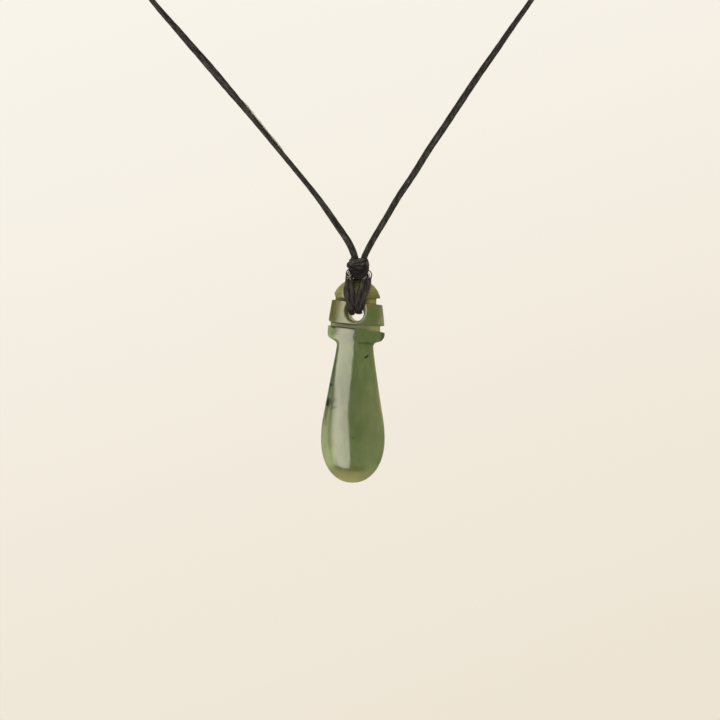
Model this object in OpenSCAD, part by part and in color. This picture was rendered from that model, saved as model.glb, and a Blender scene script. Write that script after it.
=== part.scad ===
// A small greenstone mere hung by a black waxed neck cord.
// The origin is on the underside of the cord at the nape, the stone's front faces -Y, and +Z is up.

/* [Hang] */
// Drop from the nape to the middle of the stone's hole
drop = 160; // [158:1:162]

/* [Butt of the stone] */
// Radius of the domed top in the front view
dome_r = 6.07; // [6:0.01:6.15]
// Height of the dome's centre above the hole
dome_up = 2.67; // [2.6:0.01:2.7]
// Half thickness of the butt
butt_half_t = 2.6; // [2.5:0.05:2.65]
// Softness of the ridge down the middle of each face, as a share of the half width
ridge_soft = 0.3; // [0.2:0.05:0.5]

/* [Blade of the stone] */
// Half width of the neck below the collar
neck_half_w = 4.5; // [4.4:0.05:4.6]
// Half width of the blade at its widest
blade_half_w = 7.91; // [7.8:0.01:8]
// Depth of the blade's widest line below the hole
widest_down = 31.2; // [31:0.1:31.5]
// Depth of the tip below the hole
tip_down = 42.27; // [42:0.01:42.6]
// Half thickness of the blade
blade_half_t = 2.75; // [2.6:0.05:2.9]
// How far the blade's middle line sways to the left
blade_sway = 0.21; // [0:0.01:0.25]

/* [Grooves] */
// Depth of the two sawn grooves in the front and back faces
groove_deep = 0.42; // [0.3:0.02:0.5]

/* [Hole] */
// Radius of the drilled hole
hole_r = 1.9; // [1.9:0.05:2]
// Radius of the dished mouth where it meets the face
mouth_r = 2.93; // [2.85:0.01:2.95]
// Radius of the ball that ground the mouth
mouth_ball_r = 3.3; // [3.25:0.05:3.4]
// How far the mouth sits to the left of the hole
mouth_left = 0.19; // [0.1:0.01:0.2]
// How far the mouth sits above the hole
mouth_up = 0.67; // [0.6:0.01:0.7]

/* [Cord] */
// Diameter of the waxed cord
cord_d = 1.5; // [1.4:0.05:1.6]
// Radius of the cord where it is drawn tight in the knot
tight_r = 0.72; // [0.68:0.02:0.75]

/* [Closure at the nape] */
// Length of the barrel
closure_l = 10; // [9:0.5:11]
// Outer diameter of the barrel
closure_d = 4.4; // [4:0.1:5]
// Diameter of its bore
closure_bore_d = 1.9; // [1.9:0.05:2]

/* [Hidden] */

stone_green = "#6f8a55";
cord_black = "#26241f";

// The flanks of the butt and the collar's foot: height, left half width, right half width
FLANKS = [
    [3.40, 6.05, 6.45],
    [1.60, 6.34, 6.66],
    [0.00, 6.59, 6.88],
    [-1.60, 6.78, 7.05],
    [-3.30, 6.93, 7.20],
    [-4.60, 7.00, 7.29],
    [-5.20, 7.00, 7.31],
    [-5.70, 6.86, 7.22],
    [-6.10, 6.52, 7.02],
    [-6.50, 5.86, 6.74],
    [-6.85, 5.22, 6.34],
    [-7.00, 5.00, 5.66],
    [-7.15, 4.86, 5.10],
    [-7.45, 4.70, 4.74],
    [-7.90, 4.60, 4.54]
];
// The cross-section: height, how much thinner the flanks are than the middle ridge, and its squareness, in
// which 2 is an ellipse
SECTIONS = [
    [9.0, 0.10, 2.8],
    [2.0, 0.13, 2.8],
    [-1.5, 0.18, 3.0],
    [-5.2, 0.22, 3.4],
    [-7.8, 0.13, 12.0],
    [-14.0, 0.11, 9.0],
    [-18.0, 0.085, 5.6],
    [-22.0, 0.07, 3.6],
    [-29.0, 0.0, 2.35],
    [-35.0, 0.04, 2.1],
    [-42.3, 0.05, 2.0]
];
flank_top = FLANKS[0][0];
flank_foot = FLANKS[len(FLANKS) - 1][0];

// The sawn grooves in the front view: x, height, round each outline
UPPER_GROOVE = [
    [-9, 4.90], [-5.50, 4.85], [-5.15, 4.10], [-4.90, 3.85], [0, 3.70], [6.10, 3.95], [9, 4.10],
    [9, 2.20], [6.50, 2.30], [2.50, 2.60], [-3.50, 3.20], [-6.10, 3.38], [-9, 3.40]
];
LOWER_GROOVE = [
    [-9, -1.70], [-6.75, -1.90], [-5.60, -2.40], [-0.30, -2.95], [7.10, -2.95], [9, -2.90],
    [9, -4.75], [7.30, -4.65], [-0.30, -4.05], [-5.60, -3.30], [-6.90, -3.00], [-9, -2.90]
];
// The stone left inside each groove: left half width, right half width
UPPER_CORE = [5.20, 5.02];
LOWER_CORE = [6.28, 6.12];

// The lashing from the middle of the hole to the knot: depth out from the stone's middle, height above
// the hole, the left bundle's outer and inner edges, the right bundle's inner and outer edges, and the half
// thickness of the left bundle and of the right one
LASHING = [
    [0.00, 0.48, -1.56, -0.26, -0.16, 1.56, 0.72, 0.68],
    [0.90, 0.50, -1.56, -0.26, -0.16, 1.56, 0.72, 0.68],
    [1.80, 0.78, -1.62, -0.28, -0.16, 1.52, 0.72, 0.68],
    [2.60, 1.55, -1.86, -0.31, -0.18, 1.66, 0.72, 0.68],
    [3.25, 2.65, -2.22, -0.34, -0.22, 1.98, 0.72, 0.70],
    [3.55, 4.00, -2.75, -0.42, -0.25, 2.50, 0.70, 0.70],
    [3.60, 5.60, -3.12, -0.52, -0.22, 2.87, 0.70, 0.70],
    [3.52, 7.00, -3.10, -0.70, 0.50, 3.15, 0.70, 0.70],
    [3.15, 8.20, -3.01, -0.93, 1.22, 3.40, 0.70, 0.70],
    [2.45, 9.20, -2.80, -0.95, 1.22, 3.20, 0.68, 0.68],
    [1.60, 10.00, -2.20, -0.60, 0.95, 2.60, 0.66, 0.66],
    [0.95, 10.70, -1.70, -0.30, 0.70, 2.10, 0.62, 0.62]
];

// The wraps of the knot: x, height, half span across, half span deep, roll, pitch
KNOT_WRAPS = [
    [0.42, 9.95, 1.82, 1.60, -8, 0],
    [0.20, 11.70, 2.05, 1.60, 9, 6],
    [0.45, 12.85, 1.72, 1.35, -3, -6],
    [0.40, 11.45, 1.45, 1.66, 62, 0]
];
KNOT_HEART = [0.35, 11.5];
knot_heart_r = 1.75;
wrap_steps = 12;

// The neck cord's middle line from the knot, up the left arm, round the nape and down to the knot: x, z
ROUTE = [
    [-0.3, -147.4], [-0.8, -145.2], [-2.2, -142.2], [-4.9, -138.3], [-9.5, -132], [-16.5, -123.7],
    [-25.5, -113.4], [-35, -102.5], [-45, -91.3], [-53.5, -82], [-59.1, -72.4], [-61.4, -59.9],
    [-59.3, -44.2], [-53.2, -29.6], [-43.4, -17], [-30.7, -7.4], [-16, -1.4], [-6, 0.7],
    [0, 0.75], [6, 0.7], [13.5, -1.1], [25.7, -6.2], [36.3, -14.5], [44.5, -25.3],
    [49.6, -37.9], [51.4, -51.4],
    [49.1, -66.6], [42.3, -80.6], [34, -92.8], [26, -105], [18.2, -117.2], [11.4, -128.3],
    [7, -136], [3.8, -141.6], [2, -145.2], [1.3, -147.4]
];
route_step = 5.8;
cord_sides = 8;

// The dome's middle line and top, and how squarely its thickness falls away at the crest
dome_x = 0.1;
crest_up = dome_up + dome_r;
crest_round = 2.5;
// The blade's straight flanks, which leave the neck gently and run into an arc above the widest line
neck_soft = 2.2;
taper = 0.171;
shoulder_r = 29.8;
shoulder_down = widest_down - shoulder_r * sin(atan(taper));
shoulder_half_w = blade_half_w - shoulder_r * (1 - cos(atan(taper)));
// The rounding of the tip in the front view and, from a little higher, in thickness
tip_curve = 2.15;
tip_round = 2.4;
tip_round_from = 22;
// Where the sway of the middle line starts and ends
sway_from = 4;
sway_to = 37;
stone_sides = 40;
// Distance of the mouth balls' centres from the middle plane
mouth_ball_y = butt_half_t + sqrt(mouth_ball_r * mouth_ball_r - mouth_r * mouth_r);
// Longer than any wall a cutter goes through
cut = 20;

// Round number helpers
function clamp01(v) = min(1, max(0, v));
function smooth(v) = let (u = clamp01(v)) u * u * (3 - 2 * u);
function falling(v, n) = pow(1 - pow(clamp01(v), n), 1 / n);
function row_below(table, z, i = 0) = i >= len(table) - 2 || table[i + 1][0] <= z ? i : row_below(table, z, i + 1);
function table_at(table, z, column) =
    let (i = row_below(table, z), a = table[i], b = table[i + 1], u = clamp01((a[0] - z) / (a[0] - b[0])))
    a[column] + (b[column] - a[column]) * u;

// The stone's half width in the front view, by height above the hole, before the grooves are sawn
function dome_half_w(z) = sqrt(max(0, dome_r * dome_r - (z - dome_up) * (z - dome_up)));
function blade_w(z) =
    -z < shoulder_down
        ? min(shoulder_half_w, neck_half_w + (shoulder_half_w - neck_half_w) * neck_open(z))
        : -z < widest_down
            ? blade_half_w - shoulder_r + sqrt(shoulder_r * shoulder_r - (z + widest_down) * (z + widest_down))
            : blade_half_w * falling((-z - widest_down) / (tip_down - widest_down), tip_curve);
function neck_open(z) =
    let (d = -z + flank_foot, full = shoulder_down + flank_foot)
    (sqrt(d * d + neck_soft * neck_soft) - neck_soft) / (sqrt(full * full + neck_soft * neck_soft) - neck_soft);
function sway(z) = -blade_sway * sin(180 * clamp01((-z - sway_from) / (sway_to - sway_from)));
function left_w(z) =
    z > flank_top ? dome_half_w(z) - dome_x : z > flank_foot ? table_at(FLANKS, z, 1) : blade_w(z) - sway(z);
function right_w(z) =
    z > flank_top ? dome_half_w(z) + dome_x : z > flank_foot ? table_at(FLANKS, z, 2) : blade_w(z) + sway(z);

// Its half thickness at the middle ridge, by height
function body_mix(z) = smooth((2 - z) / 16);
function plain_half_t(z) = butt_half_t + (blade_half_t - butt_half_t) * body_mix(z);
function crest_fall(z) = falling((z - dome_up) / dome_r, crest_round);
function tip_fall(z) = falling((-z - tip_round_from) / (tip_down - tip_round_from), tip_round);
function half_t(z) = plain_half_t(z) * crest_fall(z) * tip_fall(z);

// One cross-section of the stone, a superellipse that thins from a soft ridge towards its flanks
function power(v, n) = sign(v) * pow(abs(v), 2 / n);
function softened(v) = sqrt(v * v + ridge_soft * ridge_soft) - ridge_soft;
function section(left, right, deep, z) =
    let (lean = table_at(SECTIONS, z, 1), n = table_at(SECTIONS, z, 2)) [
        for (k = [0 : stone_sides - 1])
            let (a = 360 * k / stone_sides, c = power(cos(a), n), flank = 1 - lean * softened(c) / softened(1))
                [c * (c < 0 ? left : right), deep * flank * power(sin(a), n)]
    ];
STONE_HEIGHTS = concat(
    [for (a = [9 : 8.5 : 68.5]) dome_up + dome_r * cos(a)],
    [4.1, 3.65, flank_top + 0.01],
    [for (row = FLANKS) row[0]],
    [-8.6, -9.6],
    [for (d = [11 : 2.2 : 26.4]) -d],
    [for (a = [-22 : 7 : 83]) -widest_down - (tip_down - widest_down) * sin(a)]
);
function stone_ring(z) = [for (p = section(left_w(z), right_w(z), half_t(z), z)) [p[0], p[1], z]];

// Joins rings of equal length into a closed skin, with a point or a flat cap at each end
function ring_walls(rings, n, first) = [
    for (i = [0 : rings - 2], k = [0 : n - 1])
        let (a = first + i * n + k, b = first + i * n + (k + 1) % n)
            each [[a, b, b + n], [a, b + n, a + n]]
];

module stone_blank() {
    n = stone_sides;
    rings = len(STONE_HEIGHTS);
    points = concat(
        [[dome_x, 0, crest_up]],
        [for (z = STONE_HEIGHTS) each stone_ring(z)],
        [[0, 0, -tip_down]]
    );
    last = len(points) - 1;
    polyhedron(points, concat(
        [for (k = [0 : n - 1]) [0, 1 + (k + 1) % n, 1 + k]],
        ring_walls(rings, n, 1),
        [for (k = [0 : n - 1]) [last, last - n + k, last - n + (k + 1) % n]]
    ));
}

// A groove all the way round: the sawn slot less the stone that stays inside it
module groove(outline, core, top, bottom) {
    difference() {
        rotate([90, 0, 0]) linear_extrude(cut, center = true) polygon(outline);
        translate([0, 0, bottom])
            linear_extrude(top - bottom)
                polygon(section(core[0], core[1], butt_half_t - groove_deep, (top + bottom) / 2));
    }
}

module mere() {
    color(stone_green) translate([0, 0, -drop]) difference() {
        stone_blank();
        groove(UPPER_GROOVE, UPPER_CORE, 7, 0.5);
        groove(LOWER_GROOVE, LOWER_CORE, 0, -6);
        rotate([90, 0, 0]) cylinder(r = hole_r, h = cut, center = true, $fn = 64);
        for (side = [-1, 1])
            translate([-mouth_left, side * mouth_ball_y, mouth_up]) sphere(r = mouth_ball_r, $fn = 64);
    }
}

// A tube along a path of middle points, each with its own half width along x and half thickness across it
function unit(v) = v / norm(v);
function heading(path, i) = unit(path[min(len(path) - 1, i + 1)] - path[max(0, i - 1)]);
function tube_ring(path, widths, thicks, i, sides, across) =
    let (t = heading(path, i), u = unit(across - (across * t) * t), v = cross(u, t))
    [for (k = [0 : sides - 1])
        let (a = 360 * k / sides) path[i] + widths[i] * cos(a) * u + thicks[i] * sin(a) * v];

module tube(path, widths, thicks, sides, across) {
    rings = len(path);
    points = [for (i = [0 : rings - 1]) each tube_ring(path, widths, thicks, i, sides, across)];
    start = [for (k = [sides - 1 : -1 : 0]) k];
    end = [for (k = [0 : sides - 1]) (rings - 1) * sides + k];
    polyhedron(points, concat([start], ring_walls(rings, sides, 0), [end]));
}

// A smooth curve through hand-set rows, each row any list of numbers
function spline(a, b, c, d, u) =
    0.5 * (2 * b + (c - a) * u + (2 * a - 5 * b + 4 * c - d) * u * u + (3 * b - a - 3 * c + d) * u * u * u);
function row_at(rows, i) = rows[min(len(rows) - 1, max(0, i))];
function smooth_rows(rows, steps) = concat(
    [for (i = [0 : len(rows) - 2], k = [0 : steps[i] - 1])
        spline(row_at(rows, i - 1), rows[i], rows[i + 1], row_at(rows, i + 2), k / steps[i])],
    [rows[len(rows) - 1]]
);

// The front half of the lashing table, mirrored to the back, as one row list from front knot to back knot
function half_rows(side) = [
    for (i = [len(LASHING) - 1 : -1 : 0]) let (r = LASHING[i]) [-side * r[0], each [for (c = [1 : 7]) r[c]]]
];
function reversed(rows) = [for (i = [len(rows) - 1 : -1 : 0]) rows[i]];
LASHING_ROWS = concat(half_rows(1), [for (i = [1 : len(LASHING) - 1]) reversed(half_rows(-1))[i]]);

module bundle(outer, inner, thick) {
    rows = smooth_rows(LASHING_ROWS, [for (r = LASHING_ROWS) 2]);
    path = [for (r = rows) [(r[outer] + r[inner]) / 2, r[0], r[1] - drop]];
    widths = [for (r = rows) abs(r[outer] - r[inner]) / 2];
    thicks = [for (r = rows) r[thick]];
    color(cord_black) tube(path, widths, thicks, 12, [1, 0, 0]);
}

module lashing_left() {
    bundle(2, 3, 6);
}

module lashing_right() {
    bundle(5, 4, 7);
}

// One wrap of the knot: a ring of short round-ended lengths
module wrap(row) {
    translate([row[0], 0, row[1]]) rotate([row[5], row[4], 0])
        for (k = [0 : wrap_steps - 1])
            hull()
                for (j = [k, k + 1])
                    translate([row[2] * cos(360 * j / wrap_steps), row[3] * sin(360 * j / wrap_steps), 0])
                        sphere(r = tight_r, $fn = 8);
}

module knot() {
    color(cord_black) translate([0, 0, -drop]) union() {
        translate([KNOT_HEART[0], 0, KNOT_HEART[1]]) sphere(r = knot_heart_r, $fn = 16);
        for (row = KNOT_WRAPS) wrap(row);
    }
}

module neck_cord() {
    rows = [for (p = ROUTE) [p[0], 0, p[1]]];
    steps = [for (i = [0 : len(rows) - 2]) max(1, round(norm(rows[i + 1] - rows[i]) / route_step))];
    path = smooth_rows(rows, steps);
    radii = [for (p = path) cord_d / 2];
    color(cord_black) tube(path, radii, radii, cord_sides, [0, 1, 0]);
}

module closure() {
    r = closure_d / 2;
    round_end = 1.2;
    color(cord_black) translate([0, 0, cord_d / 2 - 0.1]) rotate([0, 90, 0]) difference() {
        rotate_extrude($fn = 64) difference() {
            union() {
                translate([0, -closure_l / 2 + round_end]) square([r, closure_l - 2 * round_end]);
                translate([0, -closure_l / 2]) square([r - round_end, closure_l]);
                for (side = [-1, 1])
                    translate([r - round_end, side * (closure_l / 2 - round_end)]) circle(r = round_end, $fn = 32);
            }
            translate([-closure_l, -closure_l]) square([closure_l, 2 * closure_l]);
        }
        cylinder(d = closure_bore_d, h = closure_l + 2, center = true, $fn = 48);
    }
}

mere();
lashing_left();
lashing_right();
knot();
neck_cord();
closure();
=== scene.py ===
"""Looks of a small greenstone mere on a black waxed cord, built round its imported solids.

Tables and sizes are in millimetres, but for the camera's and the studio's, which are in metres. Those of
the stone, the lashing and the knot are measured from the middle of the drilled hole, and those of the
neck cord and its closure from the nape, the part's origin. The stone's front faces -Y.
"""

import logging
import math
from dataclasses import dataclass, field
from enum import Enum

import bpy
import numpy as np
from mathutils import Matrix, Vector

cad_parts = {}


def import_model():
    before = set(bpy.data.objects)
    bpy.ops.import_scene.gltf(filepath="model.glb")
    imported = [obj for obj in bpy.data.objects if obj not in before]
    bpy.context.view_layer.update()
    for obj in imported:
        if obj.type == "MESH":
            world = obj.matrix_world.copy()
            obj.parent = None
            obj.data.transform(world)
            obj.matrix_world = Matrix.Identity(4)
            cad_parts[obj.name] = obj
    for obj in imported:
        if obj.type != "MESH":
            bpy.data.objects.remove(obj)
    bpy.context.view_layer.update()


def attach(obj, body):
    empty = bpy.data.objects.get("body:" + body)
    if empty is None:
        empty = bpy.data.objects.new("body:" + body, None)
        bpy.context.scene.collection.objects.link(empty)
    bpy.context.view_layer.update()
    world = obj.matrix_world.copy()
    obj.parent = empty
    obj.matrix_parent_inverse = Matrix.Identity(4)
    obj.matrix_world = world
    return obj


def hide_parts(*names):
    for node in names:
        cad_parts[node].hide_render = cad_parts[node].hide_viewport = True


LOG = logging.getLogger("mere_pendant")
MM = 0.001
HOLE = np.array([0.0, 0.0, -160.0])
NAPE = np.zeros(3)
CORNERS = [(i, j, k) for i in (0, 1) for j in (0, 1) for k in (0, 1)]


class Body(Enum):
    """The two bodies of the pendant."""

    CORD = "cord"
    STONE = "stone"


class Slot(Enum):
    """The record's material slots."""

    GREENSTONE = "greenstone"
    WAXED_CORD = "waxed_cord"


class Wire:
    """One output in a material, with arithmetic that adds the nodes it needs."""

    def __init__(self, graph: "Graph", socket: bpy.types.NodeSocket | None) -> None:
        """Wraps a node's output.

        Args:
            graph: the material's graph.
            socket: the output, or None for a node that has none.
        """
        self.graph = graph
        self.socket = socket

    def _math(self, operation: str, *values: "Wire | float") -> "Wire":
        """Adds one Math node.

        Args:
            operation: the node's operation.
            values: what goes into its sockets, in order.

        Returns:
            The node's output.
        """
        return self.graph.node("ShaderNodeMath", {"operation": operation}, dict(enumerate(values)))

    def __add__(self, other: "Wire | float") -> "Wire":
        """self + other."""
        return self._math("ADD", self, other)

    __radd__ = __add__

    def __mul__(self, other: "Wire | float") -> "Wire":
        """self * other."""
        return self._math("MULTIPLY", self, other)

    __rmul__ = __mul__

    def __sub__(self, other: "Wire | float") -> "Wire":
        """self - other."""
        return self._math("SUBTRACT", self, other)

    def __rsub__(self, other: float) -> "Wire":
        """other - self."""
        return self._math("SUBTRACT", other, self)

    def __truediv__(self, other: "Wire | float") -> "Wire":
        """self / other."""
        return self._math("DIVIDE", self, other)

    def __pow__(self, other: float) -> "Wire":
        """self ** other."""
        return self._math("POWER", self, other)

    def between(self, low: float, high: float) -> "Wire":
        """Rises smoothly from 0 at low to 1 at high, or falls where high is the smaller.

        Args:
            low: where it is 0.
            high: where it is 1.

        Returns:
            The eased value.
        """
        return self.graph.node(
            "ShaderNodeMapRange",
            {"interpolation_type": "SMOOTHSTEP"},
            {"Value": self, "From Min": low, "From Max": high},
        )


@dataclass
class Graph:
    """The node graph of a material, a world or a lamp."""

    owner: bpy.types.Material | bpy.types.World | bpy.types.Light

    def __post_init__(self) -> None:
        """Empties the owner's node tree."""
        self.owner.use_nodes = True
        self.tree = self.owner.node_tree
        self.tree.nodes.clear()

    def node(
        self,
        kind: str,
        settings: dict[str, object] | None = None,
        sockets: dict[int | str, object] | None = None,
        output: int | str = 0,
    ) -> Wire:
        """Adds any node.

        Args:
            kind: the node's type.
            settings: its properties, set before its sockets.
            sockets: values or wires by the input's name or number.
            output: the output wanted, by name or number.

        Returns:
            That output.
        """
        made = self.tree.nodes.new(kind)
        for key, value in (settings or {}).items():
            setattr(made, key, value)
        for key, value in (sockets or {}).items():
            if isinstance(value, Wire):
                self.tree.links.new(value.socket, made.inputs[key])
            else:
                made.inputs[key].default_value = value
        return Wire(self, made.outputs[output] if made.outputs else None)

    def place_mm(self) -> Wire:
        """The point on the piece, in millimetres."""
        point = self.node("ShaderNodeTexCoord", output="Object")
        return self.node(
            "ShaderNodeVectorMath", {"operation": "MULTIPLY"}, {0: point, 1: (1000.0, 1000.0, 1000.0)}
        )

    def stretched(self, vector: Wire, scale: tuple[float, float, float]) -> Wire:
        """A vector multiplied part by part."""
        return self.node("ShaderNodeVectorMath", {"operation": "MULTIPLY"}, {0: vector, 1: scale})

    def axes(self, vector: Wire) -> tuple[Wire, Wire, Wire]:
        """The three parts of a vector.

        Args:
            vector: the vector.

        Returns:
            Its X, Y and Z.
        """
        split = self.node("ShaderNodeSeparateXYZ", None, {"Vector": vector})
        outputs = split.socket.node.outputs
        return Wire(self, outputs["X"]), Wire(self, outputs["Y"]), Wire(self, outputs["Z"])

    def noise(self, vector: Wire, scale: float, detail: float = 3.0, roughness: float = 0.5) -> Wire:
        """Fractal noise around 0.5.

        Args:
            vector: where it is read.
            scale: cells for each unit of the vector.
            detail: octaves.
            roughness: strength of the finer octaves.

        Returns:
            The noise.
        """
        return self.node(
            "ShaderNodeTexNoise",
            {"noise_dimensions": "3D"},
            {"Vector": vector, "Scale": scale, "Detail": detail, "Roughness": roughness},
            "Fac",
        )

    def attribute(self, name: str, output: str = "Fac") -> Wire:
        """A value stored on the mesh."""
        return self.node("ShaderNodeAttribute", {"attribute_name": name}, None, output)

    def blend(self, factor: Wire | float, low: object, high: object) -> Wire:
        """A colour that goes from low to high with the factor.

        Args:
            factor: 0 for low, 1 for high.
            low: a colour or a wire.
            high: a colour or a wire.

        Returns:
            The mixed colour.
        """
        sockets = {0: factor, 6: self._colour(low), 7: self._colour(high)}
        return self.node("ShaderNodeMix", {"data_type": "RGBA"}, sockets, 2)

    @staticmethod
    def _colour(value: object) -> object:
        """Gives a plain colour its alpha, and leaves a wire alone."""
        return value if isinstance(value, Wire) else (*value, 1.0)

    def bump(self, height: Wire, distance: float, strength: float = 1.0) -> Wire:
        """A bumped normal.

        Args:
            height: from 0 to 1.
            distance: metres that 1 stands for.
            strength: how much of it shows.

        Returns:
            The normal.
        """
        sockets = {"Height": height, "Distance": distance, "Strength": strength}
        return self.node("ShaderNodeBump", None, sockets, "Normal")

    def finish(self, sockets: dict[str, object]) -> bpy.types.Material:
        """Ends a material's graph in a Principled shader.

        Args:
            sockets: its inputs by name.

        Returns:
            The material.
        """
        shader = self.node("ShaderNodeBsdfPrincipled", None, sockets, "BSDF")
        self.node("ShaderNodeOutputMaterial", None, {"Surface": shader})
        return self.owner


def srgb(red: float, green: float, blue: float) -> tuple[float, float, float]:
    """The linear colour of a screen colour whose parts run from 0 to 255."""
    parts = (value / 255.0 for value in (red, green, blue))
    return tuple(p / 12.92 if p <= 0.04045 else ((p + 0.055) / 1.055) ** 2.4 for p in parts)


class Tone(Enum):
    """The colours in the stone."""

    DEEP = srgb(73, 86, 53)
    MID = srgb(84, 95, 62)
    MOSS = srgb(72, 84, 47)
    # PALE is partly the stone's own paler wisps and partly painted glow, where light would pass through thin
    # parts or fall from the left.
    PALE = srgb(124, 136, 96)
    OLIVE = srgb(106, 99, 56)
    WARM = srgb(136, 131, 92)
    # HONEY is painted glow where it lights the right ends of the grooves, and a tint of the groove floors on
    # the far left.
    HONEY = srgb(134, 132, 84)
    BROWN = srgb(68, 70, 26)
    # The next colour is partly the stone's own pale haze and partly painted glow, where light would pass
    # through thin parts.
    HAZE_AND_GLOW = srgb(152, 150, 118)
    # CREAM and BACKLIT are painted light: the wall of the hole, lit from behind through the stone.
    CREAM = srgb(168, 172, 138)
    BACKLIT = srgb(122, 119, 84)
    # SHADE is painted shade.
    SHADE = srgb(46, 66, 28)
    # The next colour is painted shade, laid where the window light is mirrored, to dim it.
    SHADE_UNDER_REFLECTION = srgb(62, 68, 58)
    # DARK is the stone's own specks and inclusions, and painted shadow and shade under the collar, under the
    # lashing and on the carving's edges.
    DARK = srgb(26, 30, 18)


class Along(Enum):
    """What the limits of a colour zone are measured along."""

    ACROSS = "distance right of the middle"
    UP = "height above the hole"
    BEHIND = "distance behind the stone's middle plane"
    OFF_AXIS = "square of the distance across"
    OFF_PLANE = "square of the distance from the middle plane"
    CLOUDS = "slow noise"
    WISPS = "streaky noise"
    SPECKS = "fine noise"
    DRIFT = "distance across, strayed a little by the wisps"
    LEFT_DRIFT = "the same, strayed more, for the left of the blade"
    RIGHT_DRIFT = "the same, strayed most, for the right end of the grooves"
    HEAD = "height over the slanted foot of the olive butt"
    TIP = "height over the tip, strayed by the wisps"
    COLLAR_FOOT = "height over the collar's lower edge"
    GROOVE_FOOT = "height over the lower groove's foot"
    BOW = "height over a bow that follows the tip"
    DISH = "distance from the middle of the hole's dish"
    BORE = "distance from the middle of the hole"
    SUNK = "depth under the uncarved surface"
    RIM = "share of the way from the middle to the side"


@dataclass(frozen=True)
class Zone:
    """A part of the stone where its colour drifts towards another.

    share is how far it drifts. Each limit in across, up and also gives where the zone starts and where it is
    full, and one in also first names what it is measured along. gain is such a limit with the share it adds.
    """

    part: str
    tone: Tone
    share: float
    across: tuple[tuple[float, float], ...] = ()
    up: tuple[tuple[float, float], ...] = ()
    also: tuple[tuple[Along, float, float], ...] = ()
    gain: tuple[Along, float, float, float] | None = None

    def mask(self, at: dict[Along, Wire]) -> Wire:
        """Where the zone lies.

        Args:
            at: the point's measures.

        Returns:
            From 0 outside it to 1 inside.
        """
        limits = [(Along.ACROSS, *pair) for pair in self.across]
        limits += [(Along.UP, *pair) for pair in self.up]
        limits += self.also
        steps = [at[along].between(low, high) for along, low, high in limits]
        return math.prod(steps[1:], start=steps[0])

    def over(self, graph: Graph, colour: Wire, at: dict[Along, Wire]) -> Wire:
        """Lays the zone over a colour.

        Args:
            graph: the material's graph.
            colour: the colour so far.
            at: the point's measures.

        Returns:
            The new colour.
        """
        share = self.share
        if self.gain:
            along, low, high, more = self.gain
            share = at[along].between(low, high) * more + share
        mixed = graph.blend(self.mask(at) * share, colour, self.tone.value)
        mixed.socket.node.label = self.part
        return mixed


@dataclass(frozen=True)
class Inclusion:
    """A dark mark inside the stone, as an ellipse seen from the front.

    across and up place its middle, half_long and half_wide are its half sizes, lean_deg turns its long side
    up from +X, soft is the width of its edge, and depth how dark it gets.
    """

    across: float
    up: float
    half_long: float
    half_wide: float
    lean_deg: float
    soft: float
    depth: float

    def mask(self, across: Wire, up: Wire) -> Wire:
        """How much the mark covers a point.

        Args:
            across: the point's distance right of the middle.
            up: its height above the hole.

        Returns:
            From 0 outside to the mark's depth.
        """
        lean = math.radians(self.lean_deg)
        x = across - self.across
        z = up - self.up
        along = (x * math.cos(lean) + z * math.sin(lean)) / self.half_long
        over = (z * math.cos(lean) - x * math.sin(lean)) / self.half_wide
        reach = (along * along + over * over) ** 0.5
        edge = self.soft / self.half_wide
        return reach.between(1.0 + edge, 1.0 - 0.5 * edge) * self.depth


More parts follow.
